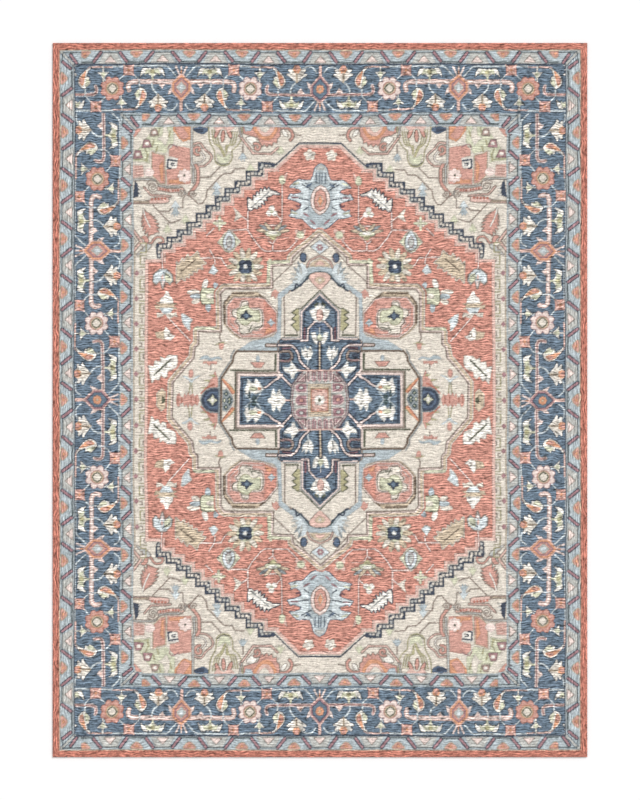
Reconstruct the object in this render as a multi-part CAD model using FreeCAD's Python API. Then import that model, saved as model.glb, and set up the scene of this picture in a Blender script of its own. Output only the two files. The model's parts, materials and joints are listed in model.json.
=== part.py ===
import FreeCAD, Part
import os

# Hand-tufted area rug, lying flat. Millimetres, +Z up, origin on the floor under the centre.
# X runs across the rug, Y along it, and the two ends are the head (+Y) and the foot (-Y).
# The rug is 9 ft x 12 ft, a trade size that is sold as 2.74 m x 3.66 m.

# Overall size
rug_width = 2740.0
rug_length = 3660.0

# Layers, from the floor up
backing_thickness = 0.9        # canvas backing, and the binding tape round it
latex_thickness = 1.8          # glue coat between the canvas and the tufting cloth
cloth_thickness = 0.8          # tufting cloth
pile_height = 9.5              # cut pile above the cloth

# Underside
rim_inset = 3.0                # how far the cloth and tape stop short of the pile's edge
tape_width = 40.0
hem_width = 30.0               # margin of the cloth, turned under round the latex
thread_width = 1.4
thread_thickness = 0.4
thread_recess = 0.1            # the thread lies this far up in the tape
thread_margin = 5.0            # from each edge of the tape to its line of stitches

# Bands of the border, from the outside in
edge_band_width = 36.0
outer_guard_width = 76.0
border_width_sides = 232.0
border_width_ends = 248.0
inner_guard_width_sides = 68.0
inner_guard_width_ends = 69.0

# Flowers along the main border: lozenge in the middle, then rosette and lozenge by turns
border_steps = 3               # motifs from the middle of a side to its last rosette
end_corner_gap = 79.0          # from the corner's centre to the last rosette, head and foot
side_corner_gap = 458.0        # the same on the long sides
rosette_radius = 58.0
lozenge_across = 66.0          # half width, along the border
lozenge_up = 58.0              # half height, across the border

# Ground inside the borders. The outlines below are one quarter of the drawing, which has
# this half size and is stretched to the ground of the rug.
drawing_half_width = 958.0
drawing_half_length = 1401.0
side_strip_width = 78.0
shoulder_y = 702.0             # where the field's side ends
shoulder_x = 792.0
step_count = 10
first_step_y = 747.0
last_step_x = 269.0
last_step_y = 1169.0
top_x = 100.0
top_y = 1289.0

medallion_quarter = [(748, 0), (748, 90), (640, 205), (634, 280), (617, 337), (505, 337), (505, 535),
                     (478, 558), (232, 558), (232, 675), (150, 675), (0, 835)]
cross_quarter = [(410, 0), (410, 120), (248, 120), (207, 150), (207, 300), (88, 310), (88, 445), (0, 525)]
centre_quarter = [(150, 0), (150, 60), (130, 150), (0, 155)]
pendant_half = [(0, 868), (60, 905), (115, 960), (150, 1050), (110, 1130), (60, 1190), (0, 1225)]
flower_centre = (357.0, 447.0)
flower_half = (143.0, 108.0)
flower_corner = 0.42           # part of each half side that the octagon's corner cuts off

# Heights of the layers
latex_z = backing_thickness
cloth_z = latex_z + latex_thickness
pile_z = cloth_z + cloth_thickness
top_z = pile_z + pile_height

half_x = rug_width / 2
half_y = rug_length / 2
rim_x = half_x - rim_inset
rim_y = half_y - rim_inset


def prism(points, low, high):
    """A flat shape with straight sides, raised from low to high."""
    loop = [FreeCAD.Vector(x, y, low) for x, y in points]
    face = Part.Face(Part.makePolygon(loop + loop[:1]))
    return face.extrude(FreeCAD.Vector(0, 0, high - low))


def slab(x, y, low, high):
    """A rectangle of half size x, y, centred on the origin."""
    return Part.makeBox(2 * x, 2 * y, high - low, FreeCAD.Vector(-x, -y, low))


def mitred_strips(outer, inner, low, high):
    """The four strips of a band, cut on a slant where they meet: head, foot, left, right."""
    (ox, oy), (ix, iy) = outer, inner
    head = [(-ox, oy), (ox, oy), (ix, iy), (-ix, iy)]
    left = [(-ox, oy), (-ix, iy), (-ix, -iy), (-ox, -oy)]
    foot = [(x, -y) for x, y in head]
    right = [(-x, y) for x, y in left]
    return [prism(points, low, high) for points in (head, foot, left, right)]


def mirrored_quarter(quarter):
    """The closed outline of a shape from its +X +Y quarter, listed from the X axis to the Y axis."""
    upper = quarter + [(-x, y) for x, y in reversed(quarter) if x > 0]
    lower = [(x, -y) for x, y in reversed(upper) if y > 0]
    return upper + lower


def stretched(points):
    """Points of the drawing, stretched to the ground of the rug."""
    sx = ground_x / drawing_half_width
    sy = ground_y / drawing_half_length
    return [(x * sx, y * sy) for x, y in points]


def four_ways(points):
    """A shape and its mirror images in the other three quarters."""
    return [[(x * sx, y * sy) for x, y in points] for sx in (1, -1) for sy in (1, -1)]


def save(name, solids):
    shape = solids[0] if len(solids) == 1 else Part.makeCompound(solids)
    shape.exportStep(os.path.join("parts", name + ".step"))
    print("%-22s %2d solids  %.0f cm3" % (name, len(solids), sum(s.Volume for s in solids) / 1000))


# Insets of the bands, as half sizes of their outer and inner edges
edge_in = (half_x - edge_band_width, half_y - edge_band_width)
guard_in = (edge_in[0] - outer_guard_width, edge_in[1] - outer_guard_width)
border_in = (guard_in[0] - border_width_sides, guard_in[1] - border_width_ends)
ground_x = border_in[0] - inner_guard_width_sides
ground_y = border_in[1] - inner_guard_width_ends


def make_underside():
    inner = (rim_x - tape_width, rim_y - tape_width)
    lines = []
    for margin in (thread_margin, tape_width - thread_margin - thread_width):
        outside = (rim_x - margin, rim_y - margin)
        inside = (outside[0] - thread_width, outside[1] - thread_width)
        lines += mitred_strips(outside, inside, 0.0, thread_recess + thread_thickness)
    groove = Part.makeCompound(lines)
    sides = ("head", "foot", "left", "right")
    for side, tape in zip(sides, mitred_strips((rim_x, rim_y), inner, 0.0, backing_thickness)):
        save("binding_tape_" + side, [tape.cut(groove)])
    lift = slab(half_x, half_y, thread_recess, thread_recess + thread_thickness)
    save("seam_thread", [line.common(lift) for line in lines])
    save("backing_canvas", [slab(inner[0], inner[1], 0.0, backing_thickness)])


def make_cloth_and_latex():
    wrapped = slab(rim_x, rim_y, latex_z, pile_z)
    inside = slab(rim_x - cloth_thickness, rim_y - cloth_thickness, latex_z + cloth_thickness, cloth_z)
    opening = slab(rim_x - hem_width, rim_y - hem_width, latex_z, latex_z + cloth_thickness)
    save("tufting_cloth", [wrapped.cut(inside.fuse(opening))])
    save("latex_coat", [inside.fuse(opening).removeSplitter()])


def border_places(end_centre, side_centre):
    """Centres of the rosettes and of the lozenges, all round the main border."""
    cx, cy = side_centre, end_centre
    end_pitch = (cx - end_corner_gap) / border_steps
    side_pitch = (cy - side_corner_gap) / border_steps
    rosettes, lozenges = [], []
    for step in range(-border_steps, border_steps + 1):
        places = rosettes if step % 2 else lozenges
        places += [(step * end_pitch, cy, 0), (step * end_pitch, -cy, 0)]
        places += [(cx, step * side_pitch, 1), (-cx, step * side_pitch, 1)]
    return rosettes, lozenges


def lozenge(x, y, turned):
    a, b = (lozenge_up, lozenge_across) if turned else (lozenge_across, lozenge_up)
    return prism([(x + a, y), (x, y + b), (x - a, y), (x, y - b)], pile_z, top_z)


def rosette(x, y, turned):
    return Part.makeCylinder(rosette_radius, pile_height, FreeCAD.Vector(x, y, pile_z))


def make_borders():
    save("pile_edge_band", mitred_strips((half_x, half_y), edge_in, pile_z, top_z))
    save("pile_outer_guard", mitred_strips(edge_in, guard_in, pile_z, top_z))
    end_centre = (guard_in[1] + border_in[1]) / 2
    side_centre = (guard_in[0] + border_in[0]) / 2
    rosette_places, lozenge_places = border_places(end_centre, side_centre)
    rosettes = [rosette(*place) for place in rosette_places]
    lozenges = [lozenge(*place) for place in lozenge_places]
    flowers = Part.makeCompound(rosettes + lozenges)
    strips = mitred_strips(guard_in, border_in, pile_z, top_z)
    save("pile_main_border", [strip.cut(flowers) for strip in strips])
    save("pile_border_rosettes", rosettes)
    save("pile_border_lozenges", lozenges)
    save("pile_inner_guard", mitred_strips(border_in, (ground_x, ground_y), pile_z, top_z))


def field_quarter():
    """One quarter of the field: a straight side, a shoulder, ten steps and the flat top."""
    side_x = drawing_half_width - side_strip_width
    tread = (shoulder_x - last_step_x) / step_count
    riser = (last_step_y - first_step_y) / step_count
    points = [(side_x, 0), (side_x, shoulder_y), (shoulder_x, shoulder_y)]
    for step in range(step_count + 1):
        x = shoulder_x - tread * step
        y = first_step_y + riser * step
        points.append((x, y))
        if step < step_count:
            points.append((x - tread, y))
    points += [(last_step_x - tread, last_step_y), (top_x, top_y), (0, top_y)]
    return points


def make_ground():
    quarter = field_quarter()
    field = prism(stretched(mirrored_quarter(quarter)), pile_z, top_z)
    medallion = prism(stretched(mirrored_quarter(medallion_quarter)), pile_z, top_z)
    cross = prism(stretched(mirrored_quarter(cross_quarter)), pile_z, top_z)
    centre = prism(stretched(mirrored_quarter(centre_quarter)), pile_z, top_z)
    pendant = pendant_half + [(-x, y) for x, y in reversed(pendant_half) if x > 0]
    pendants = [prism(stretched([(x, y * up) for x, y in pendant]), pile_z, top_z) for up in (1, -1)]
    flowers = [prism(stretched(points), pile_z, top_z) for points in four_ways(octagon())]

    save("pile_field", [field.cut(Part.makeCompound([medallion] + pendants))])
    save("pile_pendants", pendants)
    save("pile_medallion", [medallion.cut(Part.makeCompound([cross] + flowers))])
    save("pile_medallion_flowers", flowers)
    save("pile_navy_cross", [cross.cut(centre)])
    save("pile_centre_panel", [centre])

    strip_x = drawing_half_width - side_strip_width
    strip = [(strip_x, shoulder_y), (drawing_half_width, shoulder_y),
             (drawing_half_width, -shoulder_y), (strip_x, -shoulder_y)]
    save("pile_side_strips", [prism(stretched([(x * s, y) for x, y in strip]), pile_z, top_z) for s in (1, -1)])
    corner = quarter[2:] + [(0, drawing_half_length), (drawing_half_width, drawing_half_length),
                            (drawing_half_width, shoulder_y)]
    save("pile_corner_spandrels", [prism(stretched(points), pile_z, top_z) for points in four_ways(corner)])


def octagon():
    """The flower panel in one quarter of the medallion: a rectangle with its corners cut off."""
    (cx, cy), (a, b) = flower_centre, flower_half
    p = a * (1 - flower_corner)
    q = b * (1 - flower_corner)
    return [(cx + a, cy - q), (cx + a, cy + q), (cx + p, cy + b), (cx - p, cy + b),
            (cx - a, cy + q), (cx - a, cy - q), (cx - p, cy - b), (cx + p, cy - b)]


os.makedirs("parts", exist_ok=True)
make_underside()
make_cloth_and_latex()
make_borders()
make_ground()
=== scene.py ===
# %% [markdown]
# # A hand-tufted wool rug
# This lesson dresses the plain solids of an area rug, 2.74 m by 3.66 m, as the real thing: cut wool pile on a
# tufting cloth, a latex coat, a canvas backing, and a binding tape with two lines of stitches underneath. The
# rug lies flat, so all of its character is in the drawing, the yarn colours and the way the pile catches light.
#
# The first cell loads the solids. Everything after it is in metres, in the same place as they are.

# %% Load the solids
import json
import bpy
import numpy as np
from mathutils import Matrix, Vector
from mathutils.geometry import delaunay_2d_cdt

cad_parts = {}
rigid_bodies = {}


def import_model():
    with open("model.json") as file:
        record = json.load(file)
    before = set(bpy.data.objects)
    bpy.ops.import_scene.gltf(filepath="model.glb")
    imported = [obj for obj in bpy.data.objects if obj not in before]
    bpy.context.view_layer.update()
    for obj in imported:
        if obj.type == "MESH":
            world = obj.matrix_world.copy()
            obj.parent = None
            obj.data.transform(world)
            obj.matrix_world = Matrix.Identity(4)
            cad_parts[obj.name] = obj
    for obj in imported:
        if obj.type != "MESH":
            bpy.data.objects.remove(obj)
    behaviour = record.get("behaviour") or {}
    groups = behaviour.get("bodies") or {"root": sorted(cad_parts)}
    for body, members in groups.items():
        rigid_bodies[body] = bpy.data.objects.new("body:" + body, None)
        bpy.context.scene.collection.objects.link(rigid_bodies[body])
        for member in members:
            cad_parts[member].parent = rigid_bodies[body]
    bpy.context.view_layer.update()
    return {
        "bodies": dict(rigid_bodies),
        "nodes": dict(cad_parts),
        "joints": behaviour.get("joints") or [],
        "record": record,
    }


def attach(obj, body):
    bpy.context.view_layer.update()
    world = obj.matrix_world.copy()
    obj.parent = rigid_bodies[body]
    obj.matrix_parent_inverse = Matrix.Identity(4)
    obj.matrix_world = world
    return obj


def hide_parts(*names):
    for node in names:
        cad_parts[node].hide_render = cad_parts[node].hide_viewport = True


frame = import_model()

MM = 0.001

# %% [markdown]
# ## The cartoon
# A tufter works from a **cartoon**: the whole drawing at full size, with each area marked with the number of
# its yarn. A rug like this has two mirror axes, so the mill draws one quarter and turns it over. The script
# does the same. The quarter is a sheet of small squares, each holding a yarn number, and a **pen** draws on it
# in millimetres from the rug's centre. Plain NumPy is enough for that: a shape is the set of squares inside it.

# %% The yarns
YARNS = {
    "brick": (194, 126, 110), "red": (208, 149, 134), "salmon": (212, 163, 150), "orange": (220, 162, 130),
    "rose": (230, 194, 182), "blush": (242, 222, 214), "mauve": (172, 134, 139), "plum": (122, 92, 98),
    "cream": (228, 219, 206), "ivory": (246, 241, 232), "sand": (208, 190, 166), "taupe": (158, 142, 132),
    "brown": (118, 102, 90), "olive": (184, 178, 142), "sage": (214, 214, 188), "grey": (195, 195, 190),
    "sky": (183, 193, 197), "mist": (216, 224, 226), "stone": (152, 158, 160), "slate": (98, 112, 132),
    "navy": (109, 125, 140), "ink": (74, 81, 95), "teal": (82, 96, 98), "moss": (100, 103, 86),
}
YARN_NAMES = list(YARNS)
print(len(YARNS), "yarns")

# %% The sheet and the pen
SQUARE = 2.0                     # mm of the drawing in one square
QUARTER = (1370, 1830)           # mm, half the rug each way
sheet = np.zeros((int(QUARTER[1] / SQUARE), int(QUARTER[0] / SQUARE)), np.uint8)


def curve(points, closed=False, steps=5):
    """A smooth line through the points: a Catmull-Rom spline."""
    p = np.array(points, float)
    p = np.vstack([p[-1:], p, p[:2]]) if closed else np.vstack([p[:1], p, p[-1:]])
    out = []
    for a, b, c, d in zip(p, p[1:], p[2:], p[3:]):
        for t in np.arange(steps) / steps:
            out.append(0.5 * (2 * b + (c - a) * t + (2 * a - 5 * b + 4 * c - d) * t ** 2
                              + (3 * b - a - 3 * c + d) * t ** 3))
    return out if closed else out + [p[-1]]


def rounded(points):
    """A smooth closed line through the points."""
    return curve(points, closed=True)


def scaled(points, wide, tall=None):
    """The points drawn in towards 0, or out from it."""
    return [(x * wide, y * (wide if tall is None else tall)) for x, y in points]


def both_halves(half, tip):
    """A shape from its right half, which starts on the axis, and the point where the halves meet."""
    return half + [tip] + [(-x, y) for x, y in reversed(half[1:])]


class Pen:
    """Draws in millimetres from its own place, which may be turned, scaled or mirrored."""

    def __init__(self, matrix=None, origin=(0, 0), scale=1.0):
        self.matrix = np.eye(2) if matrix is None else matrix
        self.origin = np.array(origin, float)
        self.scale = scale

    def at(self, x, y, turn=0, size=1, wide=1, tall=1):
        """A pen at x, y, turned by degrees, with its width and height scaled; a negative one mirrors."""
        c, s = np.cos(np.radians(turn)), np.sin(np.radians(turn))
        matrix = self.matrix @ np.array([[c, -s], [s, c]]) @ np.diag([wide * size, tall * size])
        return Pen(matrix, self.origin + self.matrix @ (x, y), self.scale * size)

    def placed(self, points):
        return np.array(points, float) @ self.matrix.T + self.origin

    def squares(self, low, high):
        """The sheet's squares between two corners, and their centres in mm."""
        i0, j0 = np.clip((low / SQUARE).astype(int) - 1, 0, None)
        i1, j1 = (high / SQUARE).astype(int) + 2
        part = sheet[j0:max(j1, 0), i0:max(i1, 0)]
        rows, cols = np.mgrid[0:part.shape[0], 0:part.shape[1]]
        return part, (cols + i0 + 0.5) * SQUARE, (rows + j0 + 0.5) * SQUARE

    def fill(self, yarn, points):
        p = self.placed(points)
        part, x, y = self.squares(p.min(0), p.max(0))
        inside = np.zeros(part.shape, bool)
        for (x0, y0), (x1, y1) in zip(p, np.roll(p, -1, 0)):
            if y0 != y1:
                inside ^= ((y0 > y) != (y1 > y)) & (x < (x1 - x0) * (y - y0) / (y1 - y0) + x0)
        part[inside] = YARN_NAMES.index(yarn)

    def line(self, yarn, width, points, closed=False):
        p = self.placed(points)
        reach = width * self.scale / 2
        for a, b in zip(p, np.roll(p, -1, 0) if closed else p[1:]):
            part, x, y = self.squares(np.minimum(a, b) - reach, np.maximum(a, b) + reach)
            along = b - a
            t = ((x - a[0]) * along[0] + (y - a[1]) * along[1]) / max(along @ along, 1e-9)
            t = t.clip(0, 1)
            near = (x - a[0] - t * along[0]) ** 2 + (y - a[1] - t * along[1]) ** 2 < reach ** 2
            part[near] = YARN_NAMES.index(yarn)

    def cord(self, yarn, width, edge, points, closed=False, margin=4):
        """A line with an outline on both sides."""
        self.line(edge, width + 2 * margin, points, closed)
        self.line(yarn, width, points, closed)

    def piece(self, yarn, edge, points, margin=5):
        """A filled shape with an outline round it."""
        self.line(edge, 2 * margin, points, True)
        self.fill(yarn, points)

    def spot(self, yarn, x, y, wide, tall=None, edge=None, margin=5):
        """An ellipse, by its half sizes."""
        turn = np.linspace(0, 2 * np.pi, 25)[:-1]
        points = np.stack([x + wide * np.cos(turn), y + (tall or wide) * np.sin(turn)], 1)
        if edge:
            self.piece(yarn, edge, points, margin)
        else:
            self.fill(yarn, points)

    def ring_of(self, count, radius, start=0):
        """Pens set round a circle, each facing outwards along its own x."""
        for k in range(count):
            turn = start + 360 * k / count
            yield self.at(radius * np.cos(np.radians(turn)), radius * np.sin(np.radians(turn)), turn)


pen = Pen()

# %% [markdown]
# ### The borders
# Four bands run round the rug: a plain red edge, a guard stripe, the wide main border and a second guard
# stripe. A guard stripe is one bent line of slanted bars. The main border is a vine on navy. It is drawn once,
# from the middle of a **lozenge** to the middle of a **rosette**, and repeated by turning it over about each
# lozenge and rotating it half a turn about each rosette. The corners are simply where the end border stops.

# %% Bands, by their distance from the centre
EDGE_X, EDGE_Y = 1334, 1794
GUARD_X, GUARD_Y = 1258, 1718
BORDER_X, BORDER_Y = 1026, 1470
GROUND_X, GROUND_Y = 958, 1401
END_STOPS = (0, 359, 710, 1063)          # lozenge, rosette, lozenge, rosette, from the middle outwards
SIDE_STOPS = (0, 393, 762, 1136)
MOTIF_PLACES = ([(x, 1594, kind) for x, kind in zip(END_STOPS, ("lozenge", "rosette") * 2)]
                + [(1142, y, kind) for y, kind in zip(SIDE_STOPS, ("lozenge", "rosette") * 2)])


# %% Flowers and leaves of the main border
def rosette(p, petals, rim, ring):
    p.spot(rim, 0, 0, 54)
    for petal in p.ring_of(8, 42, 22.5):
        petal.spot(petals, 0, 0, 20, 16, rim, 2)
    p.spot(petals, 0, 0, 44)
    p.spot(ring, 0, 0, 36)
    p.spot("sand", 0, 0, 31)
    for yarn, far, near in (("moss", 27, 17), ("cream", 22, 13)):
        p.fill(yarn, [(far, 0), (near, near), (0, far), (-near, near), (-far, 0), (-near, -near), (0, -far),
            (near, -near)])


def crossed_square(p):
    p.piece("salmon", "plum", [(-25, -25), (25, -25), (25, 25), (-25, 25)], 2)
    for side in (-1, 1):
        p.line("rose", 9, [(-25, -25 * side), (25, 25 * side)])
    p.spot("orange", 0, 0, 8)


def bat_flower(p):
    """A wide two-winged flower on a short stem; it opens upwards."""
    wing = [(0, -38), (16, -22), (34, -14), (48, -17), (62, -32), (56, -4), (46, 14), (28, 14), (20, 8), (12, 13)]
    points = both_halves(wing, (0, 6))
    p.piece("ivory", "ink", points, 3)
    p.fill("sage", [(x * 0.62, y * 0.75 - 3) for x, y in points])
    p.spot("olive", 0, -6, 11, 12)
    p.line("sage", 10, [(0, -30), (0, -46)])


def fir_flower(p):
    """A flower with two tiers of pointed leaves; it hangs down from its stem."""
    half = [(0, 4), (14, -6), (30, -22), (52, -34), (46, -42), (30, -42), (44, -56), (42, -64), (24, -62),
        (14, -76)]
    points = both_halves(half, (0, -84))
    p.piece("ivory", "ink", points, 3)
    p.fill("cream", scaled(points, 0.6, 1))
    p.fill("orange", [(-10, -44), (10, -44), (20, -60), (12, -80), (0, -84), (-12, -80), (-20, -60)])
    p.fill("salmon", [(0, -52), (13, -66), (6, -82), (-6, -82), (-13, -66)])
    p.line("sand", 8, [(0, 2), (0, -46)])
    p.line("brown", 3, [(0, -6), (0, -40)])


def curled_leaf(p):
    """A leaf with a long tail; it hangs from its stem and its tail sweeps to the right."""
    back = curve([(0, 2), (-22, -10), (-32, -36), (-22, -64), (-4, -84), (14, -98), (36, -108)])
    front = curve([(34, -104), (20, -92), (14, -76), (10, -62), (24, -58), (22, -42), (30, -38), (22, -20),
        (6, -6)])
    p.piece("ivory", "ink", back + front, 3)
    p.fill("sage", rounded([(4, -8), (24, -26), (24, -40), (16, -52), (6, -40)]))
    p.fill("orange", rounded([(-10, -12), (-26, -30), (-24, -52), (-10, -72), (8, -92), (6, -70), (0, -46)]))
    p.fill("salmon", rounded([(-14, -22), (-24, -40), (-14, -56), (-6, -40)]))


def arrow_leaf(p):
    p.line("ivory", 7, [(0, -38), (0, 36)])
    p.piece("ivory", "ink", [(0, 26), (14, 6), (30, -10), (12, -8), (0, -16), (-12, -8), (-30, -10), (-14, 6)], 2)
    p.fill("sage", [(0, 20), (14, -4), (0, -12), (-14, -4)])


def lozenge(p, dark):
    outline = [(0, 68), (-46, 26), (-46, -16), (0, -66), (46, -16), (46, 26)]
    p.line("rose", 16, [(0, -64), (0, -112)])
    for x in (-27, 0, 27):
        p.line("blush", 9, [(x * 0.3, 66), (x, 108)])
    p.line("orange", 8, [(0, 66), (0, 88)])
    for side in (-1, 1):
        p.fill("blush", [(side * 44, 10), (side * 62, -6), (side * 70, -36), (side * 54, -28), (side * 40, -10)])
    p.piece("mauve" if dark else "orange", "rose", outline, 6)
    if dark:
        p.piece("navy", "ink", scaled(outline, 0.78), 3)
        for petal in p.ring_of(8, 14):
            petal.spot("orange", 0, 0, 9)
        p.spot("orange", 0, 0, 17)
        p.spot("sand", 0, 0, 7)
        return
    p.fill("mauve", scaled(outline, 0.8))
    p.fill("salmon", scaled(outline, 0.62, 0.66))
    p.fill("grey", [(0, 34), (-12, 18), (-24, 8), (-24, -4), (-12, -14), (0, -30), (12, -14), (24, -4), (24, 8),
        (12, 18)])
    p.spot("mist", 0, 2, 10, 16)


def half_unit(p, length, double):
    """The vine from the middle of a lozenge, at 0, to the middle of a rosette, at length."""
    stretch = length / 350
    q = p.at(0, 0, wide=stretch)
    # pale lines along both edges of the border, which dip into the lozenge
    q.line("mist", 7, [(26, 60), (68, 108), (80, 113), (350, 113)])
    q.line("mist", 7, curve([(20, -84), (38, -108), (62, -112), (82, -104), (98, -94)]))
    q.line("rose", 8, curve([(212, -84), (232, -106), (262, -110), (300, -110)]) + [(350, -110)])
    # the hooked stem
    hook = [(40, 31), (236, 31)] + curve([(250, 30), (264, 22), (268, 6), (264, -12)])
    q.cord("mauve" if double else "blush", 8 if double else 13, "blush" if double else "rose", hook, margin=5)
    if double:
        q.line("salmon", 4, hook)
    q.fill("blush", [(78, 24), (118, 24), (108, 6), (96, -4), (90, 8)])
    q.fill("rose", [(88, 22), (106, 22), (98, 6)])
    # crossed square with the two thin stems that leave it
    q.line("mist", 6, curve([(244, 74), (222, 52), (208, 34)]))
    q.line("mist", 6, [(284, 72), (320, 38)])
    crossed_square(q.at(264, 92))
    bat_flower(q.at(145, 88))
    q.line("mist", 8, curve([(150, 24), (148, 2), (137, -18), (120, -34)]))
    fir_flower(q.at(118, -36))
    q.line("mist", 8, [(212, 26), (210, 0)])
    curled_leaf(q.at(208, 0))
    q.line("mist", 6, [(318, -34), (306, -60)])
    arrow_leaf(q.at(304, -74))


def border_run(p, stops, end):
    """Half units between the stops, from a lozenge at the first stop, with a rosette at every other one."""
    stops = list(stops) + [end]
    for k, (here, there) in enumerate(zip(stops, stops[1:])):
        middle = here if k % 2 == 0 else there      # the lozenge of this half unit
        up = 1 if (k + 1) // 2 % 2 else -1          # every other lozenge stands on its head
        way = 1 if middle == here else -1
        half_unit(p.at(middle, 0, wide=way, tall=up), there - here, up < 0)
    for k, here in enumerate(stops[:-1]):
        if k % 2:
            pink = k == 1
            rosette(p.at(here, 0), *(("blush", "mauve", "salmon") if pink else ("salmon", "brick", "orange")))
        else:
            lozenge(p.at(here, 0, tall=1 if (k // 2) % 2 else -1), k == 0)


# %% The guard stripe
def guard_stripe(p, length, pitch, height, first):
    """Slanted bars joined by a line that runs high, then low. first is the place of a high stretch."""
    top, low = height / 2 - 13, -height / 2 + 14
    spot = first - pitch
    while spot < length + pitch:
        q = p.at(spot, 0)
        q.fill("grey", [(-62, low - 8), (-34, top), (34, top), (62, low - 8)])
        q.piece("blush", "taupe", [(-27, low + 1), (27, low + 1), (0, low + 32)], 3)
        q.line("stone", 7, [(-46, top), (46, top)])
        q.line("teal", 4, [(-46, top), (46, top)])
        for side in (-1, 1):
            bar = [(side * 50, top - 1), (side * 86, low + 2)]
            q.cord("mauve", 12, "ink", bar)
            q.line("stone", 9, [(side * 92, low - 2), (side * pitch / 2, low - 2)])
            q.line("teal", 5, [(side * 92, low), (side * pitch / 2, low)])
        r = p.at(spot + pitch / 2, 0)
        r.piece("salmon", "sand", rounded([(-28, top + 5), (28, top + 5), (18, top - 14), (0, top - 26),
            (-18, top - 14)]), 4)
        r.fill("orange", [(-14, top), (14, top), (0, top - 18)])
        spot += pitch


def clear_band(p, yarn, outer, inner):
    """Fills the band between two sizes with one yarn."""
    p.fill(yarn, [(0, inner[1]), (inner[0], inner[1]), (inner[0], 0), (outer[0], 0), outer, (0, outer[1])])


def guard_corner(p):
    """Two bars and a pale band meet on the diagonal. The pen stands in the outer corner."""
    p.fill("sky", [(-112, 0), (0, 0), (0, -106), (-74, -106), (-78, -78), (-112, -76)])
    for ends in ([(-58, -24), (-88, -65)], [(-17, -60), (-57, -92)]):
        p.cord("mauve", 12, "ink", ends)
    p.line("slate", 18, [(-14, -14), (-74, -74)])
    p.line("grey", 12, [(-10, -10), (-78, -78)])
    p.line("teal", 4, [(-112, -12), (-60, -12), (-16, -12), (-12, -52)])


def draw_guard(outer, inner, pitches, firsts):
    clear_band(pen, "sky", outer, inner)
    height_x, height_y = outer[0] - inner[0], outer[1] - inner[1]
    end = pen.at(0, (outer[1] + inner[1]) / 2)
    side = pen.at((outer[0] + inner[0]) / 2, 0, turn=90, tall=-1)
    guard_stripe(end, inner[0] - 60, pitches[0], height_y, firsts[0])
    guard_stripe(side, inner[1] - 60, pitches[1], height_x, firsts[1])
    guard_corner(pen.at(*outer))


def draw_borders():
    draw_guard((BORDER_X, BORDER_Y), (GROUND_X, GROUND_Y), (258, 264), (0, 132))
    # main border: the side runs stop below the end run, which goes on to the corner
    clear_band(pen, "navy", (GUARD_X, GUARD_Y), (BORDER_X, BORDER_Y))
    side = pen.at((GUARD_X + BORDER_X) / 2, 0, turn=90, tall=-1)
    border_run(side, SIDE_STOPS, 1512)
    pen.fill("navy", [(0, BORDER_Y), (GUARD_X, BORDER_Y), (GUARD_X, GUARD_Y), (0, GUARD_Y)])
    border_run(pen.at(0, (GUARD_Y + BORDER_Y) / 2 + 3), END_STOPS, 1417)
    draw_guard((EDGE_X, EDGE_Y), (GUARD_X, GUARD_Y), (268, 275), (0, 137))
    pen.line("ink", 5, [(0, GUARD_Y + 3), (GUARD_X, GUARD_Y + 3), (GUARD_X, 0)])
    clear_band(pen, "brick", QUARTER, (EDGE_X, EDGE_Y))
    pen.line("sand", 6, [(0, EDGE_Y), (EDGE_X, EDGE_Y), (EDGE_X, 0)])

# %% [markdown]
# ### The cream ground and its corners
# Between the guard stripe and the field lies a cream ground: a narrow strip with a key pattern at each side, and
# a large corner filled with cut-off palmettes, curls and thin vines. The edge of the field is a flight of
# hand-drawn steps, so its risers and treads are a little uneven, and a dark ladder runs along it.

# %% The steps of the field
RISERS = (800, 748, 696, 645, 595, 545, 497, 447, 395, 338, 275, 215)
TREADS = (762, 795, 832, 870, 915, 955, 1000, 1042, 1080, 1130, 1175)
FIELD_SIDE = 888
SHOULDER = 712


def field_edge(out=0):
    """The field's edge in one quarter, moved outwards by some millimetres."""
    points = [(FIELD_SIDE + out, 0), (FIELD_SIDE + out, SHOULDER + out), (RISERS[0] + out, SHOULDER + out)]
    for k, tread in enumerate(TREADS):
        points += [(RISERS[k] + out, tread + out), (RISERS[k + 1] + out, tread + out)]
    return points + [(RISERS[-1] + out * 0.5, 1186 + out * 0.8), (100 + out * 0.3, 1296 + out), (0, 1296 + out)]


# %% Small motifs used all over the ground and the field
def petals(p, count, reach, wide, yarn, heart=None, start=0):
    """A ring of oval petals, with a round heart or none."""
    for petal in p.ring_of(count, reach * 0.55, start):
        petal.spot(yarn, 0, 0, reach * 0.48, wide)
    if heart:
        p.spot(heart, 0, 0, reach * 0.3)


def leaf(p, length, wide, yarn, edge, teeth=5, vein=None, margin=4):
    """A saw-edged leaf along x, from its stem at 0."""
    half = [(0, 0)]
    for k in range(teeth):
        t = (k + 0.6) / teeth
        swell = wide * np.sin(np.pi * min(t * 0.9 + 0.12, 1)) ** 0.7
        half += [(length * (k + 0.15) / teeth, swell * 0.55), (length * (k - 0.1) / teeth, swell)]
    points = half + [(length, 0)] + [(x, -y) for x, y in reversed(half[1:])]
    p.piece(yarn, edge, points, margin)
    if vein:
        p.line(vein, 4, [(length * 0.1, 0), (length * 0.9, 0)])


def curl(p, radius, yarn, edge, turns=1.2, width=8):
    """A spiral that winds inwards."""
    t = np.linspace(0, turns * 2 * np.pi, 24)
    r = radius * (1 - 0.75 * t / t[-1])
    p.cord(yarn, width, edge, np.stack([r * np.cos(t), r * np.sin(t)], 1))


def vine(*points, yarn="taupe", width=6):
    pen.line(yarn, width, points)


def bell(p, yarn):
    """A small three-petalled flower that hangs down."""
    p.fill(yarn, [(0, 18), (7, 8), (20, -14), (10, -8), (6, -22), (0, -10), (-6, -22), (-10, -8), (-20, -14),
        (-7, 8)])


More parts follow.
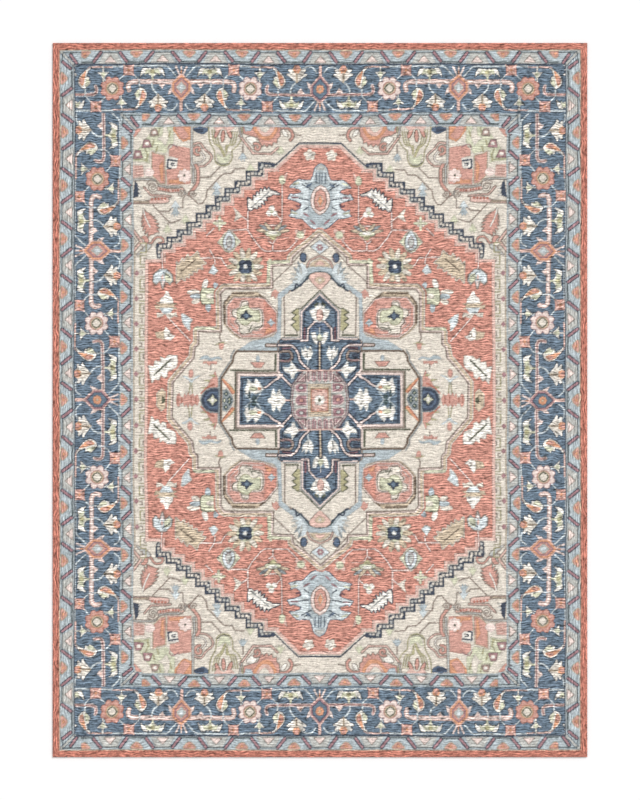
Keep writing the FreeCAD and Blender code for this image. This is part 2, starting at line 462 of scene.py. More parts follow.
def rope(points, yarn, spots):
    """A thick twisted stem: an outlined band with slanting marks."""
    pen.cord(yarn, 16, "taupe", points)
    line = np.array(points, float)
    for a, b in zip(line, line[1:]):
        for t in np.arange(0.5, np.hypot(*(b - a)) // 14) * 14 / np.hypot(*(b - a)):
            x, y = a + (b - a) * t
            pen.spot(spots, x, y, 5, 6)


# %% The corner
def draw_corner_palmette():
    """The cut-off palmette in the very corner: salmon blocks, an olive fan and three small framed squares."""
    pen.piece("sage", "cream", [(845, 1402), (748, 1402), (748, 1320), (790, 1262), (858, 1282), (872, 1276),
        (872, 1215), (905, 1224), (958, 1226), (958, 1250), (900, 1330)])
    pen.fill("cream", [(800, 1402), (784, 1402), (770, 1350), (790, 1300), (812, 1330), (836, 1338), (806, 1356)])
    for x, y in ((764, 1376), (820, 1390), (850, 1330), (880, 1260), (830, 1300)):
        pen.line("olive", 7, [(x, y), (x + 8, y - 26)])
    pen.line("olive", 5, [(958, 1236), (905, 1234), (884, 1226), (884, 1262), (896, 1290)])
    pen.fill("salmon", [(958, 1402), (912, 1402), (920, 1384), (950, 1350), (958, 1350)])
    for x, y, size, frame in ((848, 1372, 22, "taupe"), (886, 1316, 25, "mauve"), (932, 1262, 25, "mauve")):
        q = pen.at(x, y)
        q.piece(frame, "taupe", [(-size, -size * 0.7), (size, -size * 0.8), (size * 0.6, size * 0.8),
            (-size * 0.4, size * 0.8)], 3)
        q.spot("ivory", 0, 0, 11, 9, "rose", 4)
    pen.fill("orange", [(750, 1402), (662, 1402), (662, 1334), (700, 1322), (716, 1334), (750, 1380)])
    pen.fill("salmon", [(740, 1402), (704, 1402), (668, 1350), (696, 1332), (712, 1340), (738, 1380)])
    pen.piece("salmon", "cream", [(772, 1284), (752, 1304), (704, 1298), (664, 1290), (660, 1106), (784, 1104),
        (786, 1184), (738, 1186), (738, 1244), (772, 1250)])
    pen.fill("orange", [(722, 1176), (700, 1190), (690, 1110), (776, 1112), (774, 1130), (728, 1130)])
    pen.line("mauve", 5, curve([(776, 1290), (766, 1308), (744, 1304), (728, 1294)]))
    pen.piece("salmon", "sand", [(858, 1272), (838, 1262), (796, 1252), (794, 1112), (816, 1112), (852, 1150),
        (858, 1184)])
    pen.fill("orange", [(822, 1200), (802, 1230), (802, 1120), (814, 1124)])
    pen.piece("rose", "cream", [(958, 1208), (904, 1206), (900, 1146), (958, 1140)], 3)
    for k in range(4):
        pen.line("salmon", 5, [(950, 1196 - 14 * k), (908, 1200 - 14 * k)])
    pen.spot("blush", 874, 1168, 26, 22)
    pen.fill("ivory", [(788, 1240), (726, 1240), (732, 1190), (788, 1184)])
    pen.line("ink", 8, [(732, 1226), (778, 1232), (780, 1190), (762, 1188)])
    pen.line("ink", 6, [(744, 1214), (762, 1212), (758, 1202), (742, 1202)])
    petals(pen.at(692, 1150), 8, 36, 13, "blush", "blush")
    pen.spot("moss", 693, 1152, 6)
    pen.cord("grey", 9, "taupe", [(655, 1402), (655, 1214), (646, 1198), (646, 1116)], margin=3)


def draw_corner_curls():
    edge = [(956, 1132), (858, 1130), (830, 1104), (800, 1094), (724, 1092), (700, 1080), (690, 1056)]
    pen.cord("grey", 7, "taupe", curve(edge))
    curl(pen.at(858, 1092, turn=40), 30, "cream", "taupe")
    rope([(826, 1084), (760, 1074), (706, 1078)], "rose", "brick")
    curl(pen.at(712, 1058, turn=90), 16, "cream", "taupe", 1.0, 5)
    curl(pen.at(650, 1058, turn=200), 16, "cream", "taupe", 1.0, 5)
    pen.cord("rose", 6, "taupe", [(902, 1092), (868, 1052), (790, 1048), (766, 1044)])
    pen.piece("rose", "taupe", rounded([(956, 1008), (880, 1022), (836, 1040), (792, 1042), (776, 1030),
        (796, 1012)]), 4)
    for k in range(5):
        pen.spot("brick", 862 - 17 * k, 1030 + k, 6, 7)
    pen.cord("sand", 5, "taupe", [(960, 1018), (880, 1014)], margin=3)
    # the dark comb against the guard stripe
    pen.fill("ink", [(958, 1036), (948, 1128), (936, 1112), (922, 1078), (934, 1078), (918, 1062), (932, 1062),
        (912, 1042), (930, 1044)])
    for k in range(3):
        pen.fill("ivory", [(934, 1096 - 20 * k), (906, 1082 - 16 * k), (930, 1084 - 20 * k)])
    leaf(pen.at(856, 852, turn=68), 138, 44, "salmon", "taupe", 7)
    pen.line("ivory", 7, curve([(908, 978), (900, 944), (886, 912), (874, 888)]))
    # the half diamond and the two drops at the side
    pen.cord("rose", 9, "taupe", [(962, 872), (918, 814), (962, 762)])
    pen.cord("cream", 7, "taupe", [(962, 848), (938, 814), (962, 784)], margin=3)
    pen.piece("salmon", "taupe", rounded([(918, 836), (898, 842), (884, 826), (884, 806), (898, 804), (904, 822)]),
        3)
    pen.cord("salmon", 8, "taupe", curve([(884, 802), (866, 806), (854, 824), (836, 836), (810, 830), (806, 808),
        (828, 804)]), margin=3)
    pen.piece("grey", "taupe", rounded([(946, 742), (918, 772), (886, 800), (868, 792), (890, 768)]), 3)
    pen.fill("grey", [(850, 790), (838, 796), (846, 776)])


def draw_corner_vines():
    vine((858, 1000), (825, 965), (770, 908), (735, 915), (712, 926))
    vine((826, 967), (776, 966), (760, 986), (702, 984), (702, 1030), (688, 1050))
    vine((688, 1052), (660, 1040), (636, 1016), (622, 1001), (602, 1004), (582, 1034), (577, 1070), (508, 1142),
        (490, 1155), (450, 1157), (436, 1180), (384, 1184))
    vine((646, 1140), (560, 1138), (508, 1192))
    vine((577, 1078), (502, 1078))
    vine((780, 905), (780, 880))
    for x, y, yarn in ((740, 1000, "mist"), (740, 966, "sky"), (690, 926, "sage"), (784, 878, "sage"),
            (528, 1092, "mist"), (528, 1062, "sky"), (394, 1246, "sky"), (356, 1186, "sage"), (202, 1280, "sage")):
        bell(pen.at(x, y, size=1.3), yarn)
    vine((394, 1306), (393, 1262))


def draw_end_palmettes():
    """The curls and palmettes that the end of the ground cuts off, between the corner and the middle."""
    drop = curve([(648, 1312), (612, 1316), (588, 1286), (554, 1256), (556, 1228), (580, 1204), (606, 1196),
        (650, 1200)])
    pen.cord("rose", 6, "taupe", drop)
    pen.cord("ivory", 6, "taupe", curve([(606, 1272), (588, 1246), (600, 1222), (650, 1214)]), margin=3)
    curl(pen.at(624, 1282, turn=-100), 26, "salmon", "taupe", 0.9, 11)
    stem = curve([(634, 1204), (622, 1180), (622, 1120), (642, 1084), (668, 1056)])
    pen.cord("salmon", 14, "taupe", stem)
    pen.fill("slate", rounded([(656, 1388), (620, 1400), (580, 1396), (540, 1398), (508, 1382), (540, 1374),
        (572, 1378), (596, 1362), (630, 1370)]))
    pen.fill("ink", rounded([(646, 1384), (600, 1390), (600, 1374), (630, 1374)]))
    # the twisted olive palmette
    tulip = curve([(566, 1402), (560, 1330), (534, 1276), (528, 1220), (500, 1200), (468, 1206), (450, 1240),
        (448, 1276), (420, 1304), (404, 1340), (400, 1402)])
    pen.piece("cream", "olive", tulip, 6)
    pen.fill("sage", rounded([(524, 1262), (516, 1216), (486, 1208), (462, 1222), (458, 1262), (488, 1240)]))
    for k in range(3):
        pen.line("olive", 6, curve([(552 - 12 * k, 1384), (540 - 12 * k, 1320), (510 - 6 * k, 1290),
            (488 - 4 * k, 1246)]))
        pen.line("olive", 6, curve([(420 + 12 * k, 1374), (434 + 12 * k, 1310), (466 + 6 * k, 1300), (476, 1258)]))
    pen.line("moss", 4, curve([(530, 1222), (500, 1202), (468, 1208)]))
    for x, y, lean in ((524, 1372, 24), (494, 1352, 4), (462, 1368, -22)):
        pen.at(x, y, turn=lean).spot("salmon", 0, 0, 9, 30, "brown", 3)
    pen.fill("rose", [(546, 1402), (432, 1402), (462, 1372), (494, 1392), (526, 1372)])
    # the half palmette beside the middle
    pen.cord("rose", 7, "taupe", [(408, 1352), (342, 1262), (250, 1260), (216, 1292)])
    pen.cord("grey", 6, "taupe", [(412, 1402), (400, 1348)], margin=3)
    fan = [(390, 1366), (352, 1352), (318, 1344), (306, 1318), (296, 1300), (286, 1312), (272, 1296), (262, 1312),
        (246, 1302), (240, 1322), (222, 1318), (220, 1342), (206, 1352), (204, 1402), (390, 1402)]
    pen.piece("salmon", "taupe", fan, 4)
    pen.fill("orange", rounded([(340, 1402), (314, 1350), (284, 1330), (246, 1340), (222, 1402)]))
    pen.fill("rose", rounded([(322, 1402), (304, 1362), (284, 1352), (254, 1360), (236, 1402)]))
    pen.fill("cream", rounded([(310, 1402), (298, 1378), (276, 1372), (256, 1402)]))
    pen.fill("sky", [(388, 1402), (340, 1402), (352, 1378), (380, 1374)])
    pen.piece("ivory", "taupe", rounded([(376, 1340), (340, 1346), (322, 1322), (340, 1300)]), 3)
    curl(pen.at(324, 1292, turn=60), 22, "salmon", "taupe", 0.9, 10)
    pen.cord("salmon", 12, "taupe", curve([(152, 1332), (140, 1350), (146, 1378), (168, 1396), (196, 1398)]))
    vine((128, 1362), (96, 1356))
    pen.piece("ivory", "taupe", rounded([(196, 1386), (176, 1378), (166, 1352), (186, 1358)]), 3)


def draw_side_strip():
    """A key pattern at each long side: squared hooks that open both ways by turns, and small diamonds."""
    pen.line("sand", 5, [(952, 0), (952, 760)])
    for k in range(13):
        y = 31 + 62.5 * k
        q = pen.at(908, y, wide=1 if k % 2 else -1)
        q.line("olive", 5, [(-17, -24), (15, -24), (15, 24), (-17, 24)])
        q.line("taupe", 4, [(-17, -9), (-4, -9), (-4, 9), (-17, 9)])
    for k in range(6):
        pen.piece("mauve", "rose", [(941, 130 * k - 14), (953, 130 * k), (941, 130 * k + 14), (929, 130 * k)], 2)


RUNG = 19.5                      # mm from one pale square of the ladder to the next


def draw_ladder():
    """The dark ladder on the outside of the steps: a dark band with one pale square after another."""
    path = field_edge(27)[2:-3]
    pen.line("ink", 26, path)
    left = 0
    for (x0, y0), (x1, y1) in zip(path, path[1:]):
        run = np.hypot(x1 - x0, y1 - y0)
        for d in np.arange(left, run, RUNG):
            x, y = x0 + (x1 - x0) * d / run, y0 + (y1 - y0) * d / run
            pen.fill("cream" if int(x + y) % 3 else "grey", [(x - 7, y - 7), (x + 7, y - 7), (x + 7, y + 7),
                (x - 7, y + 7)])
            left = d + RUNG - run
    pen.line("ink", 6, field_edge(40)[2:-3])
    pen.line("ink", 7, [(285, 1208), (226, 1204), (106, 1316), (0, 1316)])


def draw_ground():
    pen.fill("cream", [(0, 0), (GROUND_X, 0), (GROUND_X, GROUND_Y), (0, GROUND_Y)])
    draw_corner_vines()
    draw_end_palmettes()
    draw_corner_curls()
    draw_corner_palmette()
    draw_side_strip()
    draw_ladder()
    pen.line("rose", 16, field_edge(2))

# %% [markdown]
# ### The red field
# The field holds thin pink stems with one flower or leaf at each end. Each kind of flower is a small function, so
# it can be set down anywhere, turned and scaled. Stems go in first, and the flowers cover their ends.

# %% Stems and flowers of the field
def stem(*points):
    # painted shade: the brick edge on both sides of each stem stands for the thin dark shadow beside it
    pen.cord("blush", 7, "brick", points, margin=2)


def draw_field_flowers():
    stem((368, 965), (368, 870), (345, 832), (300, 776), (276, 763), (166, 765), (142, 785), (112, 820))
    stem((372, 872), (450, 870))
    stem((240, 765), (240, 800), (224, 826))
    stem((240, 800), (262, 814))
    stem((195, 1095), (195, 920), (206, 900), (228, 893), (262, 895))
    stem((226, 950), (200, 924))
    stem((398, 940), (366, 916))
    stem((546, 880), (582, 844))
    # star leaf, three small flowers and the bud
    pen.fill("cream", [(444, 986), (420, 968), (396, 938), (440, 912), (430, 946)])
    petals(pen.at(515, 906), 4, 24, 7, "blush", "sage", 45)
    petals(pen.at(515, 906), 4, 36, 8, "sage")
    petals(pen.at(98, 846), 4, 36, 12, "rose", "sage", 45)
    pen.spot("sage", 98, 846, 20)
    petals(pen.at(247, 962), 3, 30, 15, "ivory", "sage", 90)
    pen.spot("sage", 194, 1124, 17, 24)
    pen.fill("rose", [(178, 1112), (166, 1168), (186, 1146)])
    petals(pen.at(55, 1254), 5, 30, 12, "cream", "ivory", 15)
    # the white saw-edged leaf
    saw = [(206, 1053), (242, 1068), (258, 1074), (262, 1085), (272, 1068), (283, 1087), (292, 1060), (302, 1079),
        (309, 1048), (322, 1064), (327, 1036), (339, 1046), (341, 1014), (368, 1036), (369, 998), (364, 972),
        (350, 970), (335, 984), (319, 978), (314, 998), (303, 984), (303, 1010), (283, 998), (291, 1019),
        (270, 1018), (277, 1034), (252, 1042), (240, 1051), (206, 1049)]
    pen.piece("ivory", "ink", saw)
    pen.line("stone", 5, [(350, 984), (262, 1060)])
    # the lotus
    lotus = pen.at(240, 850)
    for side in (-1, 1):
        for turn, reach in ((8, 84), (28, 78), (48, 62)):
            lotus.at(0, 8, turn=90 - side * (90 - turn)).spot("stone" if turn == 28 else "sand", reach * 0.55, 0,
                reach * 0.45, 8, "taupe", 3)
        lotus.line("rose", 5, [(side * 84, -18), (side * 30, -18), (side * 10, -30)])
    lotus.spot("sage", 0, 2, 42, 15, "taupe", 3)
    lotus.spot("ivory", 0, 6, 24, 9)
    lotus.fill("olive", [(-24, -8), (24, -8), (8, -30), (-8, -30)])
    # the drop-shaped flower
    drop = pen.at(464, 812)
    drop.piece("sage", "cream", [(0, 60), (22, 42), (38, 20), (58, -2), (38, -20), (20, -46), (0, -54), (-20, -46),
        (-38, -20), (-58, -2), (-38, 20), (-22, 42)], 4)
    drop.piece("mist", "taupe", rounded([(0, 54), (28, 14), (28, -24), (8, -42), (-8, -42), (-28, -24),
        (-28, 14)]), 4)
    drop.piece("grey", "mauve", rounded([(0, 28), (13, 4), (10, -18), (0, -24), (-10, -18), (-13, 4)]), 3)
    drop.line("taupe", 5, [(-14, -34), (0, -30), (14, -34)])


def draw_side_flowers():
    stem((812, 752), (810, 670))
    tulip = pen.at(808, 622)
    tulip.piece("mist", "taupe", [(-50, -8), (-46, 22), (-16, 48), (14, 48), (46, 22), (48, -14), (36, -26),
        (14, -4), (0, -46), (-12, -4), (-36, -24)], 6)
    tulip.fill("sage", [(-46, -6), (-40, 22), (-12, 36), (-8, 0), (-34, -18)])
    tulip.fill("rose", [(0, 26), (10, 10), (4, -8), (-4, 6)])
    tulip.fill("blush", [(-8, -10), (8, -10), (0, -42)])
    tulip.line("ink", 4, [(-2, 34), (-36, 12)])
    # the flower in three tiers, with a stem
    stem((778, 424), (670, 304))
    tiers = pen.at(786, 480)
    tiers.fill("sand", [(-58, 20), (-34, 4), (-58, -12), (58, -12), (64, 10), (36, 6), (58, 24)])
    tiers.piece("mist", "ivory", [(-34, -6), (34, -6), (18, -34), (-16, -34)], 3)
    tiers.fill("ivory", [(6, 80), (-6, 80), (-16, 58), (-32, 40), (-34, 18), (36, 18), (34, 42), (14, 58)])
    tiers.fill("cream", [(52, -30), (50, -56), (24, -50), (8, -36), (-4, -54), (-20, -60), (-40, -50), (-54, -56),
        (-52, -28), (-20, -34), (22, -34)])
    pen.piece("mist", "ivory", [(708, 442), (694, 438), (657, 410), (670, 392), (671, 358), (690, 378),
        (704, 402)], 4)
    # the half-turned flower
    side = pen.at(792, 332)
    side.fill("sand", [(0, 42), (10, 22), (54, 16), (44, -14), (6, -26), (-4, 0)])
    side.fill("ivory", [(-2, 42), (8, 16), (4, -22), (-26, -28), (-52, -6), (-30, 2), (-22, 22)])
    side.line("taupe", 5, [(-34, 8), (-18, 6), (-14, -6), (-28, -10)])
    # the white hand-shaped leaf with its dark rib
    hand = [(738, 226), (776, 226), (796, 206), (816, 216), (816, 192), (846, 196), (850, 166), (878, 172),
        (868, 112), (862, 84), (846, 106), (830, 100), (816, 126), (800, 112), (788, 118), (784, 146), (740, 164),
        (734, 200)]
    pen.piece("ivory", "cream", hand, 3)
    pen.line("moss", 8, [(850, 124), (768, 204)])
    pen.piece("sand", "cream", [(838, -4), (836, 30), (812, 56), (792, 38), (776, 46), (766, 0)], 3)
    pen.fill("moss", [(812, -4), (810, 20), (796, 10), (794, -4)])


def draw_upper_field():
    # the pale yellow saw-edged leaf
    stem((628, 733), (504, 730), (484, 694), (446, 676))
    stem((566, 772), (540, 734), (536, 700))
    big = [(738, 604), (737, 709), (728, 694), (707, 728), (702, 710), (680, 748), (669, 730), (650, 746),
        (629, 764), (622, 738), (584, 704), (612, 696), (600, 676), (628, 682), (632, 660), (654, 668), (654, 646),
        (674, 650), (672, 632), (692, 640), (694, 616), (712, 632)]
    pen.piece("sand", "cream", big)
    pen.line("brown", 5, [(712, 664), (640, 722)])
    # the dark four-lobed flower in its ring of pale petals
    rose_of = pen.at(380, 684)
    for k, petal in enumerate(rose_of.ring_of(14, 58)):
        petal.spot("cream" if k % 2 else "sand", 0, 0, 36, 12, "sage", 2)
    rose_of.spot("sage", 0, 0, 44)
    for lobe in rose_of.ring_of(4, 20, 45):
        lobe.spot("ink", 0, 0, 21)
    rose_of.spot("slate", 0, -20, 20, 14)
    rose_of.spot("ivory", 0, 0, 9, None, "mist", 3)
    pen.piece("mist", "cream", [(546, 696), (522, 664), (540, 646), (568, 656)], 3)
    # the square green flower
    for yarn, x, y, size, lean in (("ivory", 588, 596, 28, 108), ("sky", 530, 584, 22, 60),
            ("cream", 648, 556, 34, 0), ("sky", 634, 534, 32, 0), ("cream", 636, 508, 22, 160),
            ("sky", 574, 478, 26, 90)):
        pen.at(x, y, turn=lean).spot(yarn, 0, 0, size, 14)
    square = rounded([(606, 498), (606, 566), (576, 574), (536, 570), (520, 552), (520, 500), (560, 496)])
    pen.piece("sage", "moss", square, 3)
    pen.spot("cream", 562, 534, 20, 14)


def draw_pendant():
    """The pale palmette with three pairs of fingers that hangs in the field above and below the medallion."""
    body = [(0, 1212), (22, 1200), (32, 1184), (40, 1150), (52, 1126), (84, 1124), (112, 1128), (134, 1114),
        (158, 1088), (132, 1086), (106, 1078), (96, 1062), (140, 1050), (152, 1056), (168, 1030), (146, 1024),
        (112, 1014), (96, 1004), (104, 980), (128, 966), (150, 976), (146, 956), (160, 944), (126, 934), (92, 930),
        (66, 906), (44, 884), (0, 866)]
    pen.piece("mist", "slate", body, 3)
    pen.fill("sky", [(0, 1180), (28, 1160), (36, 1120), (76, 1108), (60, 1084), (60, 960), (92, 946), (52, 900),
        (0, 886)])
    pen.fill("grey", [(0, 1208), (20, 1196), (26, 1176), (0, 1180)])
    for x in (6, 24):
        pen.line("slate", 6, [(x, 1164), (x, 1112)])
    for line in ([(96, 1104), (46, 1078)], [(80, 1110), (56, 1096)], [(112, 1034), (60, 1026)],
            [(84, 974), (60, 990)]):
        pen.line("ink", 5, line)
    for x, y, turn, yarn in ((126, 1106, -20, "sage"), (132, 1036, 0, "mauve"), (134, 958, 10, "sage"),
            (60, 1100, -35, "slate"), (70, 950, 30, "mauve"), (36, 912, 40, "mauve")):
        pen.at(x, y, turn=turn).spot(yarn, 0, 0, 20, 5)
    pen.line("plum", 10, curve([(122, 996), (108, 990), (102, 1002)]))
    pen.piece("blush", "taupe", [(0, 1102), (28, 1086), (44, 1056), (50, 1022), (42, 990), (22, 964), (0, 950)], 3)
    pen.piece("salmon", "brown", [(0, 1082), (24, 1064), (32, 1022), (24, 984), (0, 968)], 3)
    pen.piece("orange", "cream", [(0, 1052), (14, 1022), (0, 992)], 3)


def draw_field():
    pen.fill("red", field_edge(-6) + [(0, 0)])
    draw_field_flowers()
    draw_upper_field()
    draw_side_flowers()
    draw_pendant()

# %% [markdown]
# ### The medallion
# The medallion fills the middle. A stepped outline holds a cream ground with palmettes and an eight-sided rosette
# in each quarter; inside it a dark blue cross carries white flowers, and a pink panel sits at the very centre.

# %% The cream ground of the medallion and its flowers
MEDALLION = [(0, 846), (50, 800), (106, 756), (136, 728), (140, 690), (240, 686), (238, 570), (488, 570),
    (508, 546), (508, 350), (625, 350), (625, 286), (644, 268), (650, 215), (700, 155), (755, 88), (755, 0)]


def draw_medallion_ground():
    pen.line("red", 74, MEDALLION)
    pen.line("cream", 58, MEDALLION)
    pen.line("sand", 46, MEDALLION)
    for x0, y0, x1, y1 in ((262, 600, 252, 716), (640, 366, 548, 366), (150, 706, 262, 706)):
        pen.line("sage", 18, [(x0, y0), (x1, y1)])
    pen.line("blush", 20, MEDALLION)
    pen.fill("cream", MEDALLION + [(0, 0)])
    pen.line("taupe", 7, MEDALLION)
    pen.line("taupe", 5, [(62, 790), (100, 742), (150, 682), (225, 612), (238, 600)])


def draw_octagon():
    q = pen.at(357, 440)
    ring = [(142, 46), (142, -46), (100, -96), (60, -126), (-60, -126), (-138, -92), (-138, 8), (-80, 84),
        (-34, 116), (92, 116), (100, 100)]
    q.fill("sand", ring)
    for x0, y0, x1, y1 in ((90, 108, 40, 108), (30, 108, -20, 108), (134, 60, 108, 92), (136, -46, 136, 0),
            (136, 14, 136, 48), (-50, 98, -80, 76)):
        q.line("brown", 9, [(x0, y0), (x1, y1)])
    inner = [(120, 40), (120, -50), (90, -84), (44, -118), (-60, -118), (-132, -88), (-132, 6), (-76, 74),
        (-40, 84), (84, 84)]
    q.piece("salmon", "blush", inner)
    q.line("taupe", 3, scaled(inner, 1.07), closed=True)
    q.fill("red", [(-66, -112), (-128, -86), (-128, 4), (-76, 68), (-66, 52), (-74, 30), (-66, 6), (-78, -20),
        (-68, -50), (-76, -82)])
    q.fill("orange", [(-70, -104), (-112, -88), (-96, -70), (-80, -80)])
    q.line("blush", 4, [(104, 34), (104, -46), (40, -106), (-58, -106)])
    foil = rounded([(40, 62), (12, 62), (8, 28), (-34, 26), (-58, 12), (-60, -50), (-40, -76), (-8, -80), (0, -96),
        (50, -96), (56, -60), (74, -38), (66, -20), (88, -6), (92, 18), (60, 28), (48, 40)])
    q.piece("cream", "moss", foil, 3)
    q.line("blush", 4, [(x * 1.1, y * 1.1 + 1) for x, y in foil], closed=True)
    q.piece("sage", "olive", rounded([(66, 16), (20, 44), (-8, 20), (-44, 12), (-44, -40), (-8, -34), (20, -56),
        (52, -40)]), 3)
    for vein in ([(-8, -56), (8, -90)], [(14, -78), (-46, -66)]):
        q.line("moss", 4, vein)
    star = pen.at(378, 430)
    star.fill("ink", [(0, 34), (12, 14), (34, 8), (26, 0), (34, -10), (12, -10), (0, -24), (-12, -10), (-36, -4),
        (-22, 6), (-10, 14)])
    star.spot("navy", 0, 2, 12)
    lily = pen.at(252, 396)
    lily.fill("sky", [(0, 22), (12, 6), (22, -2), (10, -8), (0, -22), (-10, -8), (-22, -4), (-12, 6)])


def draw_medallion_flowers():
    wings = pen.at(562, 216)
    wings.fill("sky", rounded([(-58, -10), (-40, 8), (0, 2), (20, 14), (44, 10), (60, -8), (30, -6), (0, -14),
        (-30, -4)]))
    wings.fill("salmon", [(-34, -16), (40, -16), (42, -30), (24, -26), (10, -40), (-8, -28), (-30, -34)])
    wings.line("taupe", 4, [(0, -36), (0, -56)])
    drop = pen.at(508, 278)
    drop.fill("olive", [(-38, 8), (-12, 14), (-8, 4), (36, 6), (12, 18), (-10, 22)])
    drop.fill("salmon", [(-14, 14), (14, 14), (10, -16), (-4, -20), (-12, -6)])
    drop.line("taupe", 6, [(6, 68), (10, 40), (0, 22)])
    lily = pen.at(662, 118)
    lily.fill("mist", rounded([(-48, 8), (-24, 4), (0, -14), (24, 4), (46, 2), (14, -16), (0, -42), (-14, -16)]))
    lily.spot("salmon", 2, 18, 11, 20, "rose", 3)
    for x in (-8, 10):
        lily.line("olive", 5, [(x * 0.4, -30), (x, -84)])
    # an eye on the cross axis, with a crown of pointed leaves
    pen.fill("salmon", [(606, 38), (588, 58), (572, 84), (566, 104), (552, 114), (548, 132), (541, 152),
        (532, 130), (526, 110), (526, 62), (560, 56)])
    for x, y in ((618, 64), (604, 102), (577, 128)):
        pen.fill("olive", [(x, y), (x - 34, y + 4), (x - 40, y - 12)])
    pen.line("brick", 7, [(610, 34), (584, 62), (546, 82)])
    pen.piece("ink", "stone", [(608, 0), (602, 24), (586, 46), (562, 58), (524, 60), (520, 0)], 6)
    pen.fill("slate", [(596, 0), (588, 24), (566, 44), (524, 46), (520, 0)])
    pen.fill("ink", [(584, 0), (574, 22), (552, 36), (530, 24), (524, 0)])
    pen.fill("sage", [(580, 0), (562, 10), (552, 28), (542, 10), (526, 0)])
    pen.spot("ivory", 552, 3, 9)
    pen.line("stone", 16, [(512, 112), (512, 0)])
    pen.line("mauve", 6, [(512, 108), (512, 0)])
    pen.fill("salmon", [(738, 0), (734, 28), (722, 36), (712, 14), (702, 12), (694, 36), (685, 20), (676, 42),
        (667, 22), (654, 34), (640, 22), (626, 30), (618, 0)])
    for x in (728, 708, 660, 636):
        pen.line("brick", 5, [(x, 16), (x, 0)])
    pen.line("orange", 16, [(496, 106), (446, 42)])
    pen.line("brick", 5, [(500, 98), (450, 34)])
    pen.line("olive", 5, [(492, 114), (442, 52)])
    pen.fill("stone", [(502, 52), (480, 58), (456, 30), (444, 0), (502, 0)])
    for x, y, size in ((484, 34, 13), (466, 8, 14), (492, 4, 9)):
        pen.fill("teal", [(x + size, y), (x, y + size * 1.2), (x - size, y), (x, y - size * 1.2)])
        pen.spot("sage", x, y, 5)
    # the salmon tulip and the crescent beside the arm of the cross
    tulip = pen.at(226, 540)
    tulip.fill("salmon", [(0, 28), (18, 8), (22, -18), (10, -10), (0, -26), (-10, -10), (-22, -18), (-18, 8)])
    pen.fill("rose", rounded([(158, 518), (136, 512), (120, 496), (134, 480), (156, 474), (146, 496)]))


def draw_blue_band():
    """The light blue band that follows the cross, and the brown lines on both sides of it."""
    pen.fill("sky", [(0, 680), (60, 676), (80, 648), (112, 612), (160, 580), (214, 540), (216, 440), (222, 350),
        (240, 326), (300, 312), (352, 304), (430, 252), (205, 252), (196, 520), (140, 560), (84, 598), (50, 640),
        (0, 654)])
    pen.fill("mist", [(112, 680), (120, 640), (140, 600), (110, 590), (60, 650), (70, 680), (90, 700)])
    for x, y, turn in ((104, 690, 70), (118, 664, 50), (130, 640, 20), (132, 616, 0), (96, 660, 80)):
        pen.at(x, y, turn=turn).spot("stone" if turn % 20 else "grey", 0, 0, 20, 6)
    pen.line("teal", 8, curve([(0, 654), (50, 640), (84, 598), (140, 556)]))
    pen.line("ink", 8, curve([(58, 622), (84, 600), (100, 580), (120, 590), (130, 560), (152, 556)]))
    pen.line("taupe", 7, [(150, 556), (183, 520), (183, 322), (205, 310), (216, 300), (216, 254)])
    pen.line("brown", 10, [(212, 252), (430, 250), (446, 226), (450, 198), (478, 158), (508, 112), (510, 0)])
    pen.line("stone", 6, [(440, 260), (458, 228), (460, 202), (518, 116), (520, 0)])
    pen.cord("blush", 10, "brown", [(275, 282), (212, 282)], margin=6)
    # dome flowers over the arm's tip
    dome = pen.at(0, 780)
    dome.piece("mist", "taupe", [(0, 38), (46, 2), (0, -34)], 3)
    petals(dome, 6, 18, 6, "mauve", "cream")
    pen.spot("slate", 82, 728, 15, 22, "ink", 4)
    pen.fill("rose", [(78, 712), (56, 738), (66, 722)])
    pen.cord("rose", 5, "taupe", curve([(64, 678), (48, 712), (0, 736)]))
    pen.fill("sand", curve([(0, 724), (36, 704), (50, 682), (0, 684)]))
    pen.fill("rose", curve([(0, 712), (20, 700), (24, 688), (0, 690)]))
    lotus = curve([(0, 650), (30, 648), (52, 632), (50, 612), (30, 590), (0, 556)])
    pen.piece("rose", "taupe", lotus, 3)
    pen.fill("sand", curve([(0, 630), (22, 622), (24, 606), (0, 590)]))
    pen.fill("cream", curve([(0, 620), (10, 612), (0, 600)]))


# %% The blue cross with its flowers
def pale_line(points, width=9, edge=6, dark="ink"):
    """A pale line of the cross with a dark band on both sides."""
    pen.cord("blush", width, dark, points, margin=edge)


